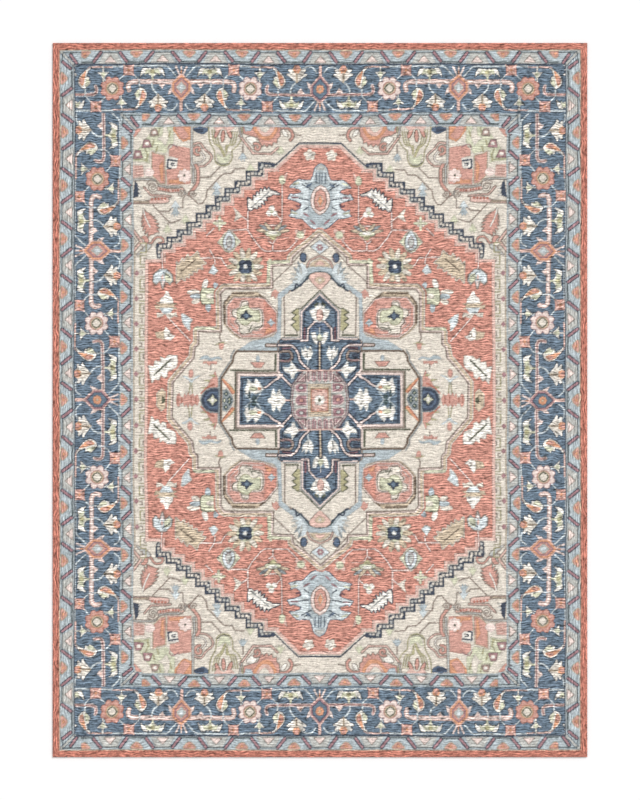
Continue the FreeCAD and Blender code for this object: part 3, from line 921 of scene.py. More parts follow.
def draw_cross():
    outline = [(0, 532), (30, 504), (90, 446), (90, 308), (206, 306), (206, 156), (240, 124), (412, 124), (412, 0),
        (0, 0)]
    pen.piece("navy", "ink", outline)
    for dark in ([(0, 520), (40, 484), (80, 446), (82, 318)], [(196, 296), (100, 300)],
            [(196, 290), (196, 160), (150, 110)], [(404, 112), (250, 114)], [(402, 112), (402, 0)]):
        pen.line("ink", 7, dark)
    # cream panel with a zigzag beside the vertical arm
    pen.fill("cream", [(178, 536), (178, 334), (112, 334), (104, 460), (60, 500), (0, 562), (60, 590), (140, 552)])
    pen.line("stone", 9, [(0, 544), (98, 452), (98, 318), (190, 318)])
    pen.line("blush", 7, [(0, 540), (94, 450), (94, 314), (190, 312)])
    pen.line("moss", 6, [(120, 465), (100, 465), (75, 486), (0, 558)])
    zigzag = [(120, 465), (147, 445), (122, 434), (146, 414), (122, 402), (147, 384)]
    pen.fill("olive", zigzag + [(120, 350), (104, 356), (108, 460)])
    pen.line("moss", 5, zigzag + [(118, 352), (118, 340)])
    pen.line("moss", 7, [(176, 332), (114, 332)])
    # the vertical arm: a tulip, a bell and a second tulip on one stem
    pen.line("plum", 12, [(78, 366), (78, 316)])
    pale_line([(96, 304), (62, 304), (60, 362), (24, 400), (0, 400)], 8, 5)
    pen.piece("ivory", "mist", [(0, 494), (10, 476), (26, 482), (22, 464), (52, 456), (40, 424), (22, 404),
        (0, 400)], 3)
    pen.spot("rose", 0, 432, 15, 28, "salmon", 3)
    pen.fill("moss", [(10, 500), (32, 484), (26, 476), (8, 486)])
    pen.fill("slate", curve([(0, 396), (22, 390), (48, 362), (44, 346), (20, 348), (0, 366)]))
    pen.line("ivory", 5, [(0, 366), (0, 346)])
    pen.piece("ivory", "mist", [(42, 344), (36, 312), (22, 288), (0, 284), (0, 340), (14, 316), (24, 344)], 3)
    pen.fill("sage", curve([(0, 338), (12, 322), (12, 304), (0, 294)]))
    pen.cord("sand", 9, "ink", [(0, 290), (0, 152)], margin=8)
    # tulip beside the stem
    tulip = pen.at(64, 236, turn=-8)
    tulip.piece("ivory", "mist", [(24, 34), (14, 12), (6, 40), (-4, 14), (-22, 34), (-28, 0), (-14, -26),
        (-4, -34), (8, -26), (26, 2)], 3)
    tulip.line("mist", 7, [(0, -30), (8, -60), (-6, -78)])
    tulip.line("stone", 4, [(0, 4), (0, -24)])
    pale_line([(214, 283), (152, 283), (126, 266), (108, 236), (102, 204), (82, 178), (56, 158)], 9, 6)
    pen.line("plum", 9, [(150, 268), (192, 266)])
    # the spiral
    pen.cord("taupe", 12, "ink", curve([(202, 250), (160, 252), (144, 236), (144, 214), (160, 202), (202, 204)]),
        margin=5)
    pen.spot("ink", 184, 228, 19, 10)
    pen.line("mauve", 5, curve([(200, 204), (164, 203), (148, 216)]))
    pen.fill("ink", [(134, 196), (118, 164), (88, 158), (110, 182)])
    pen.fill("ink", [(122, 142), (106, 128), (96, 142)])
    star = [(145, 200), (128, 174), (114, 160), (96, 152), (114, 146), (127, 138), (133, 114), (143, 113),
        (150, 138), (166, 142), (180, 152), (187, 170), (162, 167), (150, 170)]
    pen.piece("ivory", "mist", star, 3)
    # the horizontal arm
    pen.fill("cream", [(226, 240), (415, 240), (436, 214), (436, 196), (458, 172), (458, 160), (226, 160)])
    pen.line("moss", 9, [(229, 236), (229, 154), (460, 154)])
    pen.line("moss", 8, [(436, 144), (436, 0)])
    pen.fill("cream", [(500, 112), (470, 152), (444, 140), (444, 72), (470, 84)])
    boat = pen.at(322, 184)
    boat.piece("salmon", "taupe", [(-38, 12), (36, 12), (14, -14), (-18, -14)], 3)
    boat.spot("sky", 0, 30, 10, 17)
    pen.line("taupe", 9, [(214, 143), (430, 143), (430, 0)])
    pen.line("blush", 10, [(216, 240), (214, 152), (196, 128)])
    pen.line("blush", 11, [(200, 132), (418, 132), (419, 0)])
    pale_line([(196, 126), (150, 78), (136, 66)], 9, 6)
    pale_line([(206, 118), (240, 100), (266, 76), (300, 60)], 8, 6)
    pen.line("blush", 12, [(194, 134), (212, 118)])
    bloom = [(386, 62), (376, 84), (372, 110), (356, 92), (340, 90), (330, 112), (316, 98), (304, 80), (288, 62),
        (306, 46), (330, 34), (350, 48), (362, 34), (380, 38)]
    pen.piece("ivory", "mist", bloom, 4)
    pen.fill("ink", [(352, 112), (344, 112), (340, 96), (352, 96)])
    pen.spot("sage", 344, 62, 22, 12)
    pen.fill("orange", [(318, 72), (300, 66), (304, 54), (322, 58)])
    for stalk in ([(386, 34), (360, 12), (352, 0)], [(304, 38), (322, 12), (330, 0)]):
        pen.line("sky", 8, stalk)
    pen.line("teal", 9, [(363, 46), (363, 18)])
    pen.spot("teal", 338, 14, 12, 14)
    big = [(266, 6), (248, 18), (246, 42), (238, 60), (230, 40), (224, 26), (216, 44), (206, 56), (200, 32),
        (186, 18), (174, 4), (174, -6), (266, -6)]
    pen.piece("ivory", "mist", big, 3)
    pen.line("rose", 8, [(176, 0), (148, 0)])
    pen.line("slate", 12, [(184, 84), (166, 52)])


# %% The panel at the centre
def draw_centre():
    """A mauve octagon of small outlined shapes round a framed flower."""
    octagon = [(0, 150), (80, 150), (104, 128), (142, 76), (150, 0), (0, 0)]
    pen.piece("grey", "plum", octagon, 4)
    pen.line("rose", 8, [(0, 152), (110, 152)])
    pen.line("mauve", 5, [(84, 142), (134, 76), (142, 0)])
    for x, wide in ((0, 10), (30, 12), (58, 9)):
        tooth = [(x - wide, 146), (x - wide, 106), (x, 94), (x + wide, 106), (x + wide, 146)]
        pen.piece("mauve", "plum", tooth, 3)
        pen.line("blush", 5, tooth)
        pen.line("grey", 4, [(x, 140), (x, 110)])
    pen.piece("mauve", "plum", [(74, 134), (74, 96), (114, 96)], 4)
    pen.line("blush", 5, [(78, 128), (78, 100), (108, 100)], closed=True)
    for y, tall in ((64, 22), (0, 26)):
        box = [(68, y - tall), (112, y - tall), (126, y - tall * 0.4), (126, y + tall * 0.4), (112, y + tall),
            (68, y + tall)]
        pen.piece("mauve", "plum", box, 3)
        pen.line("blush", 6, box, closed=True)
        pen.spot("salmon" if y == 0 else "grey", 96, y, 11, 8, "plum", 3)
    pen.fill("sand", [(0, 84), (60, 84), (60, 0), (0, 0)])
    pen.line("cream", 6, [(0, 74), (52, 74), (52, 0)])
    pen.piece("salmon", "orange", [(0, 56), (42, 56), (42, 0), (0, 0)], 4)
    pen.fill("rose", [(0, 54), (40, 54), (40, 0), (0, 0)])
    for x, y in ((34, 46), (8, 48), (36, 12)):
        pen.spot("salmon", x, y, 7)
    for petal in pen.ring_of(8, 17):
        petal.spot("ivory", 0, 0, 12, 9)
    pen.spot("ivory", 0, 0, 20)
    pen.spot("moss", 0, 0, 8, 9)


def draw_medallion():
    draw_medallion_ground()
    draw_octagon()
    draw_medallion_flowers()
    draw_blue_band()
    draw_cross()
    draw_centre()

# %% [markdown]
# ## From the cartoon to tufts
# A tufting gun leaves one short loop after another, and shearing cuts them to pile. Each tuft has one colour, so
# the natural mesh for the pile is a grid with **one vertex for each tuft**, and the colour is kept on that vertex
# as an attribute. No image is needed, and a drawing made of tufts has the soft, stepped edges of the real one.
#
# A hand never follows a line exactly. So each tuft looks the cartoon up at a slightly shifted place: a slow wander
# of a few millimetres, which keeps the four quarters from being perfect mirror images, and a little random
# scatter.

# %% The cartoon
draw_ground()
draw_field()
draw_medallion()
draw_borders()
print("squares drawn:", int((sheet > 0).sum()), "of", sheet.size)

# %% The zones of the pile
# Which solid each square belongs to, painted with the same pen. Shapes that reach an axis of the rug go 9 mm
# past it, so that no square on the axis is missed.
ROSETTE_RADIUS, LOZENGE_REACH = 58, 66
ZONES = ("edge_band", "outer_guard", "main_border", "inner_guard", "corner_spandrels", "side_strips", "field",
         "pendants", "medallion", "medallion_flowers", "navy_cross", "centre_panel", "border_rosettes",
         "border_lozenges")


def zone_sheet():
    """Paints zone numbers with the pen, then puts the drawing back."""
    drawing = sheet.copy()
    marker = dict(zip(ZONES, YARN_NAMES))        # the yarn that has the zone's number
    def shape(zone, points):
        pen.fill(marker[zone], points)
    def rectangle(zone, x, y):
        shape(zone, [(-9, -9), (x, -9), (x, y), (-9, y)])
    rectangle("edge_band", *QUARTER)
    rectangle("outer_guard", EDGE_X, EDGE_Y)
    rectangle("main_border", GUARD_X, GUARD_Y)
    rectangle("inner_guard", BORDER_X, BORDER_Y)
    rectangle("corner_spandrels", GROUND_X, GROUND_Y)
    rectangle("side_strips", GROUND_X, SHOULDER)
    shape("field", [(-9, -9)] + field_edge()[:1] + field_edge() + [(-9, 1296)])
    shape("pendants", [(-9, 864), (44, 872), (108, 920), (156, 992), (112, 1064), (104, 1104), (62, 1154),
                       (0, 1226), (-9, 1226)])
    shape("medallion", MEDALLION + [(-9, 846), (-9, -9), (755, -9)])
    shape("medallion_flowers", [(500, 394), (500, 500), (440, 556), (274, 556), (214, 500), (214, 394), (274, 332),
                                (440, 332)])
    shape("navy_cross", [(410, -9), (410, 120), (248, 120), (207, 150), (207, 300), (88, 310), (88, 445), (0, 525),
                         (-9, 525), (-9, -9)])
    shape("centre_panel", [(148, -9), (148, 60), (130, 150), (0, 155), (-9, 155), (-9, -9)])
    for across, along, kind in MOTIF_PLACES:
        spot = pen.at(across, along)
        if kind == "rosette":
            spot.spot(marker["border_rosettes"], 0, 0, ROSETTE_RADIUS)
        else:
            r = LOZENGE_REACH
            spot.fill(marker["border_lozenges"], [(r, 0), (0, r), (-r, 0), (0, -r)])
    zones = sheet.copy()
    sheet[:] = drawing
    return zones


zones = zone_sheet()
print("zones:", {ZONES[z]: int(n) for z, n in zip(*np.unique(zones, return_counts=True))})

# %% The grid of tufts
HALF_X, HALF_Y = QUARTER[0] * MM, QUARTER[1] * MM
PITCH = 0.00375
ACROSS = 2 * round(HALF_X / PITCH)
ALONG = 2 * round(HALF_Y / PITCH)
grid_x, grid_y = np.meshgrid(np.linspace(-HALF_X, HALF_X, ACROSS + 1), np.linspace(-HALF_Y, HALF_Y, ALONG + 1))
scatter = np.random.default_rng(21)
to_rim = np.minimum(HALF_X - abs(grid_x), HALF_Y - abs(grid_y))


def wander(x, y, turn):
    """A slow shift of the drawing, in mm, made of a few waves; turn makes x and y differ."""
    return (2.2 * np.sin(5.1 * x + 3.3 * y + turn) + 1.6 * np.sin(-3.7 * x + 8.9 * y + 2.1 * turn)
            + 1.1 * np.sin(17.3 * x - 11.9 * y + 0.7 * turn))


FIRM_RIM = 0.08                           # metres; nearer to the rim than this, the drawing wanders less
ROUNDED_RIM = 0.009                       # metres; the pile rounds off over this width
loose = np.clip(to_rim / FIRM_RIM, 0, 1)
SCATTER = 0.7                             # mm
places = []
for place, turn in ((grid_x, 0.4), (grid_y, 2.9)):
    scattered = scatter.uniform(-SCATTER, SCATTER, place.shape)
    places.append(abs(place / MM + wander(grid_x, grid_y, turn) * loose + scattered))
print("tufts:", grid_x.size, "pitch", round(2 * HALF_X / ACROSS / MM, 3), "mm")

# %% Wool colours
def linear(srgb):
    """From the 0 to 255 of a colour chart to the light values that Blender works in."""
    c = np.array(srgb, float) / 255
    return np.where(c <= 0.04045, c / 12.92, ((c + 0.055) / 1.055) ** 2.4)


def looked_up(values, shift=0.0):
    """The sheet's value at each tuft, moved by shift millimetres both ways."""
    col = np.clip((places[0] + shift) / SQUARE, 0, sheet.shape[1] - 1).astype(int)
    row = np.clip((places[1] + shift) / SQUARE, 0, sheet.shape[0] - 1).astype(int)
    return values[row, col]


dyes = linear([YARNS[name] for name in YARN_NAMES])
dye_and_seam_shade = np.mean([looked_up(dyes[sheet], shift) for shift in (-0.9, 0.9)], axis=0)
UNEVEN_DYE, UNEVEN_HUE = 0.11, 0.012      # no two tufts take the dye alike
dye_and_seam_shade *= scatter.normal(1, UNEVEN_DYE, grid_x.shape)[..., None]
dye_and_seam_shade *= 1 + scatter.normal(0, UNEVEN_HUE, grid_x.shape + (3,))
print("average colour:", [round(float(v), 3) for v in dye_and_seam_shade.mean((0, 1))])

# %% [markdown]
# ### Carving
# Where two colours meet, the maker runs scissors along the line. The pile is lower there, which is what makes
# each shape of the drawing stand out when light grazes the rug. The groove's depth is kept as an attribute too,
# and the colour along the groove is darkened as painted shade.

# %% Where the colours meet
def seams():
    """1 on a line where the yarn changes, less beside it."""
    change = np.zeros(sheet.shape, np.float32)
    for axis in (0, 1):
        differ = (np.diff(sheet.astype(int), axis=axis) != 0).astype(np.float32)
        low, high = [slice(None)] * 2, [slice(None)] * 2
        low[axis], high[axis] = slice(0, -1), slice(1, None)
        change[tuple(low)] += differ
        change[tuple(high)] += differ
    change = np.minimum(change, 1)
    return sum(np.roll(change, (i, j), (0, 1)) for i in (-1, 0, 1) for j in (-1, 0, 1)) / 9


seam = looked_up(seams())
rim = np.clip(1 - to_rim / ROUNDED_RIM, 0, 1)
SEAM_SHADE = 0.3                          # painted shade: the colour of tufts on a carved edge is darkened
dye_and_seam_shade *= 1 - SEAM_SHADE * seam[..., None]
lay = ((abs(grid_x) > GUARD_X * MM) & (abs(grid_y) < HALF_Y - (HALF_X - abs(grid_x)))).astype(float)
print("tufts on a seam:", int((seam > 0.3).sum()))

# %% [markdown]
# ### Cutting the pile into pieces
# The whole pile as one mesh would be far too heavy to handle, so it is cut along the zones of the drawing and into
# quarters, and the long bands once more. All pieces share the one grid, so their tufts meet without a gap. Each
# piece is closed: tufts on top, walls down to the cloth, and a flat floor that only uses the outline.

# %% Cells of each piece
cell_x = (grid_x[:-1, :-1] + grid_x[1:, 1:]) / 2
cell_y = (grid_y[:-1, :-1] + grid_y[1:, 1:]) / 2


def square_zones():
    """The zone of each cell. Two cells that touch only at a corner are joined, so the walls stay simple."""
    rows = np.minimum(abs(cell_y) / MM / SQUARE, sheet.shape[0] - 1).astype(int)
    columns = np.minimum(abs(cell_x) / MM / SQUARE, sheet.shape[1] - 1).astype(int)
    cells = zones[rows, columns]
    for _ in range(6):
        a, b, c, d = cells[:-1, :-1], cells[:-1, 1:], cells[1:, :-1], cells[1:, 1:]
        corner = (a == d) & (a != b) & (a != c)
        b[corner] = a[corner]
        corner = (b == c) & (a != b) & (b != d)
        a[corner] = b[corner]
    return cells


cells = square_zones()
BANDS = ("edge_band", "outer_guard", "main_border", "inner_guard")
BAND_CUT = 0.915                  # the long bands are cut here, so that no piece is much over a metre
print("cells:", cells.size)

# %% One closed piece of pile
PILE_LOW, PILE_HIGH = 3.5 * MM, 13 * MM
WALLS_IN_A_ROW = 380              # on the baking map
SIDES = (((-1, 0), (0, 0), (1, 0)), ((0, 1), (1, 0), (1, 1)), ((1, 0), (1, 1), (0, 1)), ((0, -1), (0, 1), (0, 0)))


def outline(mask):
    """The edges round the cells, each as two grid corners with the cells on its left."""
    wide, padded, found = mask.shape[1] + 1, np.pad(mask, 1), []
    for (up, right), a, b in SIDES:
        beside = padded[1 + up:1 + up + mask.shape[0], 1 + right:1 + right + mask.shape[1]]
        row, col = np.nonzero(mask & ~beside)
        found.append(np.stack([(row + a[1]) * wide + col + a[0], (row + b[1]) * wide + col + b[0]], 1))
    return np.concatenate(found)


def floor_faces(rim_corners, edges, mask):
    """Triangles that fill the outline, made from its own corners only."""
    wide = mask.shape[1] + 1
    points = [Vector((float(c % wide), float(c // wide))) for c in rim_corners]
    faces = delaunay_2d_cdt(points, [(int(a), int(b)) for a, b in edges], [], 1, 1e-6)[2]
    faces = np.array(faces)
    p = np.array([tuple(v) for v in points])[faces]
    middle = p.mean(1)
    row = middle[:, 1].astype(int).clip(0, mask.shape[0] - 1)
    inside = mask[row, middle[:, 0].astype(int).clip(0, mask.shape[1] - 1)]
    p, faces = p[inside], faces[inside]
    turn = np.cross(p[:, 1] - p[:, 0], p[:, 2] - p[:, 0])
    faces[turn > 0] = faces[turn > 0][:, ::-1]
    return faces


def add_values(mesh, kind, values):
    mesh.attributes.new(kind, "FLOAT", "POINT").data.foreach_set("value", values.astype(np.float32))


def baking_map(x, y, every, quads, floor, walls):
    """Where each face lies on the baking map: tufts on most of it, then the floor, then rows of walls."""
    u, v = (x - x.min()) / np.ptp(x), (y - y.min()) / np.ptp(y)
    flat = np.stack([0.004 + 0.992 * u[every], 0.104 + 0.892 * v[every]], 1)
    k = np.arange(walls)
    rows = k[-1] // WALLS_IN_A_ROW + 1
    left, step = (k % WALLS_IN_A_ROW) / WALLS_IN_A_ROW, 0.9 / WALLS_IN_A_ROW
    up, tall = 0.003 + 0.05 * (k // WALLS_IN_A_ROW) / rows, 0.045 / rows
    wall_map = np.stack([left, up, left + step, up, left + step, up + tall, left, up + tall], 1).reshape(-1, 2)
    floor_map = flat[floor.ravel()] * (1, 0.035) + (0, 0.058)
    return np.concatenate([flat[quads.ravel()], wall_map, floor_map])


def crisp_edges(mesh, points, top):
    """Keeps the rim of the top crisp, so that light runs on over the joint to the next piece."""
    ends = np.empty(2 * len(mesh.edges), np.int32)
    mesh.edges.foreach_get("vertices", ends)
    ends, rim_ends = np.sort(ends.reshape(-1, 2), 1), np.sort(top, 1)
    crisp = np.isin(ends @ (points, 1), rim_ends @ (points, 1))
    mesh.attributes.new("sharp_edge", "BOOLEAN", "EDGE").data.foreach_set("value", crisp)


def pile_mesh(name, mask):
    rows, cols = np.nonzero(mask.any(1))[0], np.nonzero(mask.any(0))[0]
    window = (slice(rows[0], rows[-1] + 1), slice(cols[0], cols[-1] + 1))
    corners = (slice(rows[0], rows[-1] + 2), slice(cols[0], cols[-1] + 2))
    mask = mask[window]
    wide = mask.shape[1] + 1
    row, col = np.nonzero(mask)
    first = row * wide + col
    tufts, quads = np.unique(np.stack([first, first + 1, first + wide + 1, first + wide], 1), return_inverse=True)
    quads = quads.reshape(-1, 4)
    edges = outline(mask)
    rim_corners, ring = np.unique(edges, return_inverse=True)
    ring = ring.reshape(-1, 2)
    top = np.searchsorted(tufts, edges)
    low = ring + len(tufts)
    walls = np.stack([low[:, 0], low[:, 1], top[:, 1], top[:, 0]], 1)
    floor = floor_faces(rim_corners, ring, mask) + len(tufts)
    x, y = grid_x[corners].ravel(), grid_y[corners].ravel()
    every = np.concatenate([tufts, rim_corners])
    height = np.where(np.arange(len(every)) < len(tufts), PILE_HIGH, PILE_LOW)
    mesh = bpy.data.meshes.new(name)
    mesh.vertices.add(len(every))
    mesh.vertices.foreach_set("co", np.stack([x[every], y[every], height], 1).astype(np.float32).ravel())
    loops = np.concatenate([quads.ravel(), walls.ravel(), floor.ravel()]).astype(np.int32)
    sizes = np.concatenate([np.full(len(quads) + len(walls), 4), np.full(len(floor), 3)])
    mesh.loops.add(len(loops))
    mesh.loops.foreach_set("vertex_index", loops)
    mesh.polygons.add(len(sizes))
    mesh.polygons.foreach_set("loop_start", np.concatenate([[0], np.cumsum(sizes)[:-1]]).astype(np.int32))
    mesh.polygons.foreach_set("use_smooth", np.arange(len(sizes)) < len(quads))
    for kind, values in (("seam", seam), ("rim", rim), ("lay", lay)):
        add_values(mesh, kind, values[corners].ravel()[every])
    add_values(mesh, "tip", height > PILE_LOW)
    colour = np.ones((len(every), 4), np.float32)
    colour[:, :3] = dye_and_seam_shade[corners].reshape(-1, 3)[every]
    # the tufts' colours, with the painted seam shade in them
    mesh.attributes.new("dye_and_seam_shade", "FLOAT_COLOR", "POINT").data.foreach_set("color", colour.ravel())
    uv = baking_map(x, y, every, quads, floor, len(walls))
    mesh.uv_layers.new(name="OFBake").data.foreach_set("uv", uv.astype(np.float32).ravel())
    mesh.update(calc_edges=True)
    crisp_edges(mesh, len(every), top)
    mesh.validate()
    return mesh

# %% [markdown]
# ## Node trees from a script
# Geometry and shading below are both node trees. These small helpers make them readable: one adds named inputs and
# outputs to a tree, one adds a node with its settings, and one does sums.

# %% Helpers for node trees
GEOMETRY, MATERIAL, COLOUR = "NodeSocketGeometry", "NodeSocketMaterial", "NodeSocketColor"
NUMBER, VECTOR = "NodeSocketFloat", "NodeSocketVector"
KINDS = {float: NUMBER, int: "NodeSocketInt"}


def new_tree(kind, name, inputs, outputs):
    """The wires of a new tree with named sockets. A value gives its kind; a string names the kind."""
    tree = bpy.data.node_groups.new(name, kind)
    for side, sockets in (("INPUT", inputs), ("OUTPUT", outputs)):
        for socket_name, value in sockets.items():
            named = isinstance(value, str)
            socket = tree.interface.new_socket(socket_name, in_out=side,
                                               socket_type=value if named else KINDS[type(value)])
            if not named and side == "INPUT":
                socket.default_value = value
    return Wires(tree), tree.nodes.new("NodeGroupInput").outputs, tree.nodes.new("NodeGroupOutput").inputs


class Wires:
    """Adds nodes to a tree and links them."""

    def __init__(self, tree):
        self.tree = tree

    def to(self, value, socket):
        if isinstance(value, bpy.types.NodeSocket):
            self.tree.links.new(value, socket)
        elif value is not None:
            socket.default_value = value

    def add(self, kind, inputs=(), **settings):
        node = self.tree.nodes.new(kind)
        for key, value in settings.items():
            setattr(node, key, value)
        for key, value in dict(inputs).items():
            self.to(value, node.inputs[key])
        return node

    def sum(self, operation, a, b=None, clamp=False):
        node = self.add("ShaderNodeMath", operation=operation, use_clamp=clamp)
        for value, socket in zip((a, b), node.inputs):
            self.to(value, socket)
        return node.outputs[0]

    def plus(self, a, b, clamp=False):
        return self.sum("ADD", a, b, clamp)

    def minus(self, a, b, clamp=False):
        return self.sum("SUBTRACT", a, b, clamp)

    def times(self, a, b, clamp=False):
        return self.sum("MULTIPLY", a, b, clamp)

    def scaled(self, colour, factor):
        """A colour made lighter or darker."""
        return self.add("ShaderNodeVectorMath", {0: colour, "Scale": factor}, operation="SCALE").outputs[0]

    def join(self, x, y, z=0.0):
        return self.add("ShaderNodeCombineXYZ", {"X": x, "Y": y, "Z": z}).outputs[0]

    def parts(self, vector):
        return self.add("ShaderNodeSeparateXYZ", {"Vector": vector}).outputs

    def noise(self, vector, scale, detail=1.0, rough=0.5):
        return self.add("ShaderNodeTexNoise", {"Vector": vector, "Scale": scale, "Detail": detail,
                                               "Roughness": rough}).outputs[0]

    def mix(self, factor, a, b):
        """From a to b by a factor, for plain numbers."""
        return self.plus(a, self.times(factor, self.minus(b, a)))


ROW_PITCH = 12.5 * MM             # from one ridge of the pile to the next
ROW_STRAY = 30 * MM              # how far a ridge wanders from a straight line
FULL_TURN, HALF_TURN = 6.2832, 3.14159


def row_waves(wires, place, lay, pitch):
    """Rows of tufts as a wave from -1 to 1, with wide patches and fine streaks along them, both about 0.

    Rows run along x, or along y where lay is 1, and stray a little."""
    x, y, _ = wires.parts(place)
    across = wires.mix(lay, y, x)
    along = wires.mix(lay, x, y)
    wide = wires.noise(place, 16.0)
    moved = wires.plus(across, wires.times(wires.minus(wide, 0.5), ROW_STRAY))
    wave = wires.sum("SINE", wires.sum("DIVIDE", wires.times(moved, FULL_TURN), pitch))
    patches = wires.noise(wires.join(wires.times(along, 17.0), wires.times(moved, 62.0)), 1.0)
    strength = wires.times(wires.minus(patches, 0.36, clamp=True), 3.2, clamp=True)
    streaks = wires.noise(wires.join(wires.times(along, 36.0), wires.times(moved, 115.0)), 1.0)
    return wires.times(wave, strength), wires.minus(patches, 0.5), wires.minus(streaks, 0.5)


print("helpers ready")

# %% [markdown]
# ## The relief of the pile
# Seen close, cut pile is never level: rows of tufts make low, straying ridges, each tuft is a hair longer or
# shorter than the next, seams are carved, and the outer edge is rounded off where nothing holds it up. All four
# follow rules, so a Geometry Nodes tree makes them, with every size as a named input. Only tufts move: the walls'
# feet have no "tip" and stay on the cloth.

# %% The tree "cut pile"
def realized(w, geometry, material, result):
    """The end of each tree: real geometry that has its material."""
    real = w.add("GeometryNodeRealizeInstances", {"Geometry": geometry}).outputs[0]
    w.to(w.add("GeometryNodeSetMaterial", {"Geometry": real, "Material": material}).outputs[0], result[0])


def cut_pile_tree():
    w, given, result = new_tree("GeometryNodeTree", "cut pile", {"Geometry": GEOMETRY, "Row Pitch": ROW_PITCH,
                                                                 "Row Depth": 0.0004, "Tuft Jitter": 0.0003,
                                                                 "Carving": 0.0011, "Rim Drop": 0.003, "Seed": 7,
                                                                 "Wool": MATERIAL}, {"Geometry": GEOMETRY})
    kept = {name: w.add("GeometryNodeInputNamedAttribute", {"Name": name}, data_type="FLOAT").outputs[0]
            for name in ("tip", "seam", "rim", "lay")}
    place = w.add("GeometryNodeInputPosition").outputs[0]
    wave, _, _ = row_waves(w, place, kept["lay"], given["Row Pitch"])
    chance = w.add("ShaderNodeTexWhiteNoise", {"Vector": place, "W": given["Seed"]}, noise_dimensions="4D")
    each = w.parts(w.add("ShaderNodeVectorMath", {0: chance.outputs["Color"], 1: (0.5, 0.5, 0.5)},
                         operation="SUBTRACT").outputs[0])
    up = w.times(wave, given["Row Depth"])
    up = w.plus(up, w.times(each[2], w.times(given["Tuft Jitter"], 2.0)))
    up = w.minus(up, w.times(kept["seam"], given["Carving"]))
    up = w.minus(up, w.times(w.times(kept["rim"], kept["rim"]), given["Rim Drop"]))
    aside = [w.times(each[k], w.times(given["Tuft Jitter"], 3.0)) for k in (0, 1)]
    moved = w.add("GeometryNodeSetPosition", {"Geometry": given["Geometry"], "Selection": kept["tip"],
                                              "Offset": w.join(aside[0], aside[1], up)})
    realized(w, moved.outputs[0], given["Wool"], result)
    return w.tree


def put_in_scene(name, data):
    thing = bpy.data.objects.new(name, data)
    bpy.context.scene.collection.objects.link(thing)
    return thing


def grown(name, mesh, tree, values):
    """Runs a tree on a mesh with these inputs and returns the plain result as an object."""
    piece = put_in_scene(name, mesh)
    modifier = piece.modifiers.new("grow", "NODES")
    modifier.node_group = tree
    for item in tree.interface.items_tree:
        if item.in_out == "INPUT" and item.name in values:
            modifier[item.identifier] = values[item.name]
    graph = bpy.context.evaluated_depsgraph_get()
    shaped = bpy.data.meshes.new_from_object(piece.evaluated_get(graph), preserve_all_data_layers=True,
                                             depsgraph=graph)
    piece.modifiers.remove(modifier)
    piece.data = shaped
    shaped.name = name
    bpy.data.meshes.remove(mesh)
    return piece


cut_pile = cut_pile_tree()
print("tree:", cut_pile.name, [i.name for i in cut_pile.interface.items_tree if i.in_out == "INPUT"])

# %% [markdown]
# ## Finishes
# Wool is matt, and its colour is never even: strands of one dye differ, and a batch fades a little from one skein
# to the next. Rows catch the light by turns, and that light and shade of the rows is painted into the colour as
# well.
# Five wools share these effects, so each effect is a **node group** that is built once and placed in every wool
# with its own values.

# %% Group: heathered wool and painted row shade
def heathered_wool_and_row_shade():
    """Strand and batch variation of a yarn's colour, and painted light and shade of its rows."""
    w, given, result = new_tree("ShaderNodeTree", "heathered wool and row shade", {
        "Dye": COLOUR, "Place": VECTOR, "Lay": 0.0, "Row Pitch": ROW_PITCH, "Row Shade": 0.10,
        "Strands": 0.10, "Batches": 0.06}, {"Colour": COLOUR, "Shade": NUMBER})
    wave, patches, streaks = row_waves(w, given["Place"], given["Lay"], given["Row Pitch"])
    strands = w.minus(w.noise(given["Place"], 420.0, 2.0, 0.6), 0.5)
    tufts = w.minus(w.noise(given["Place"], 95.0, 1.0, 0.5), 0.5)
    batches = w.minus(w.noise(given["Place"], 2.3, 2.0, 0.5), 0.5)
    # painted light and shade of the rows, with streaks of colour along them: the wave is the same one that raises
    # the ridges in the tree cut pile, so ridge tops are painted lighter and the valleys darker
    rows = w.plus(w.times(wave, 1.5), w.times(patches, 3.0))
    rows = w.plus(rows, w.times(streaks, 6.0))
    tone_and_shade = w.times(rows, given["Row Shade"])
    tone_and_shade = w.plus(tone_and_shade, w.times(strands, w.times(given["Strands"], 2.0)))
    tone_and_shade = w.plus(tone_and_shade, w.times(tufts, w.times(given["Strands"], 2.4)))
    tone_and_shade = w.plus(tone_and_shade, w.times(batches, w.times(given["Batches"], 2.0)))
    w.to(w.scaled(given["Dye"], w.plus(tone_and_shade, 1.0)), result["Colour"])
    w.to(w.plus(tone_and_shade, 0.5, clamp=True), result["Shade"])
    return w.tree


def cut_ends():
    """The fuzz of cut yarn ends, as a height in metres."""
    w, given, result = new_tree("ShaderNodeTree", "cut ends", {"Place": VECTOR, "Fineness": 520.0,
                                                                  "Tuft Size": 0.0035}, {"Height": NUMBER})
    fuzz = w.noise(given["Place"], given["Fineness"], 2.0, 0.65)
    tuft = w.add("ShaderNodeTexVoronoi", {"Vector": given["Place"],
                                          "Scale": w.sum("DIVIDE", 1.0, given["Tuft Size"]),
                                          "Randomness": 0.85}).outputs["Distance"]
    w.to(w.minus(w.times(fuzz, 0.5), w.times(tuft, 0.6)), result["Height"])
    return w.tree


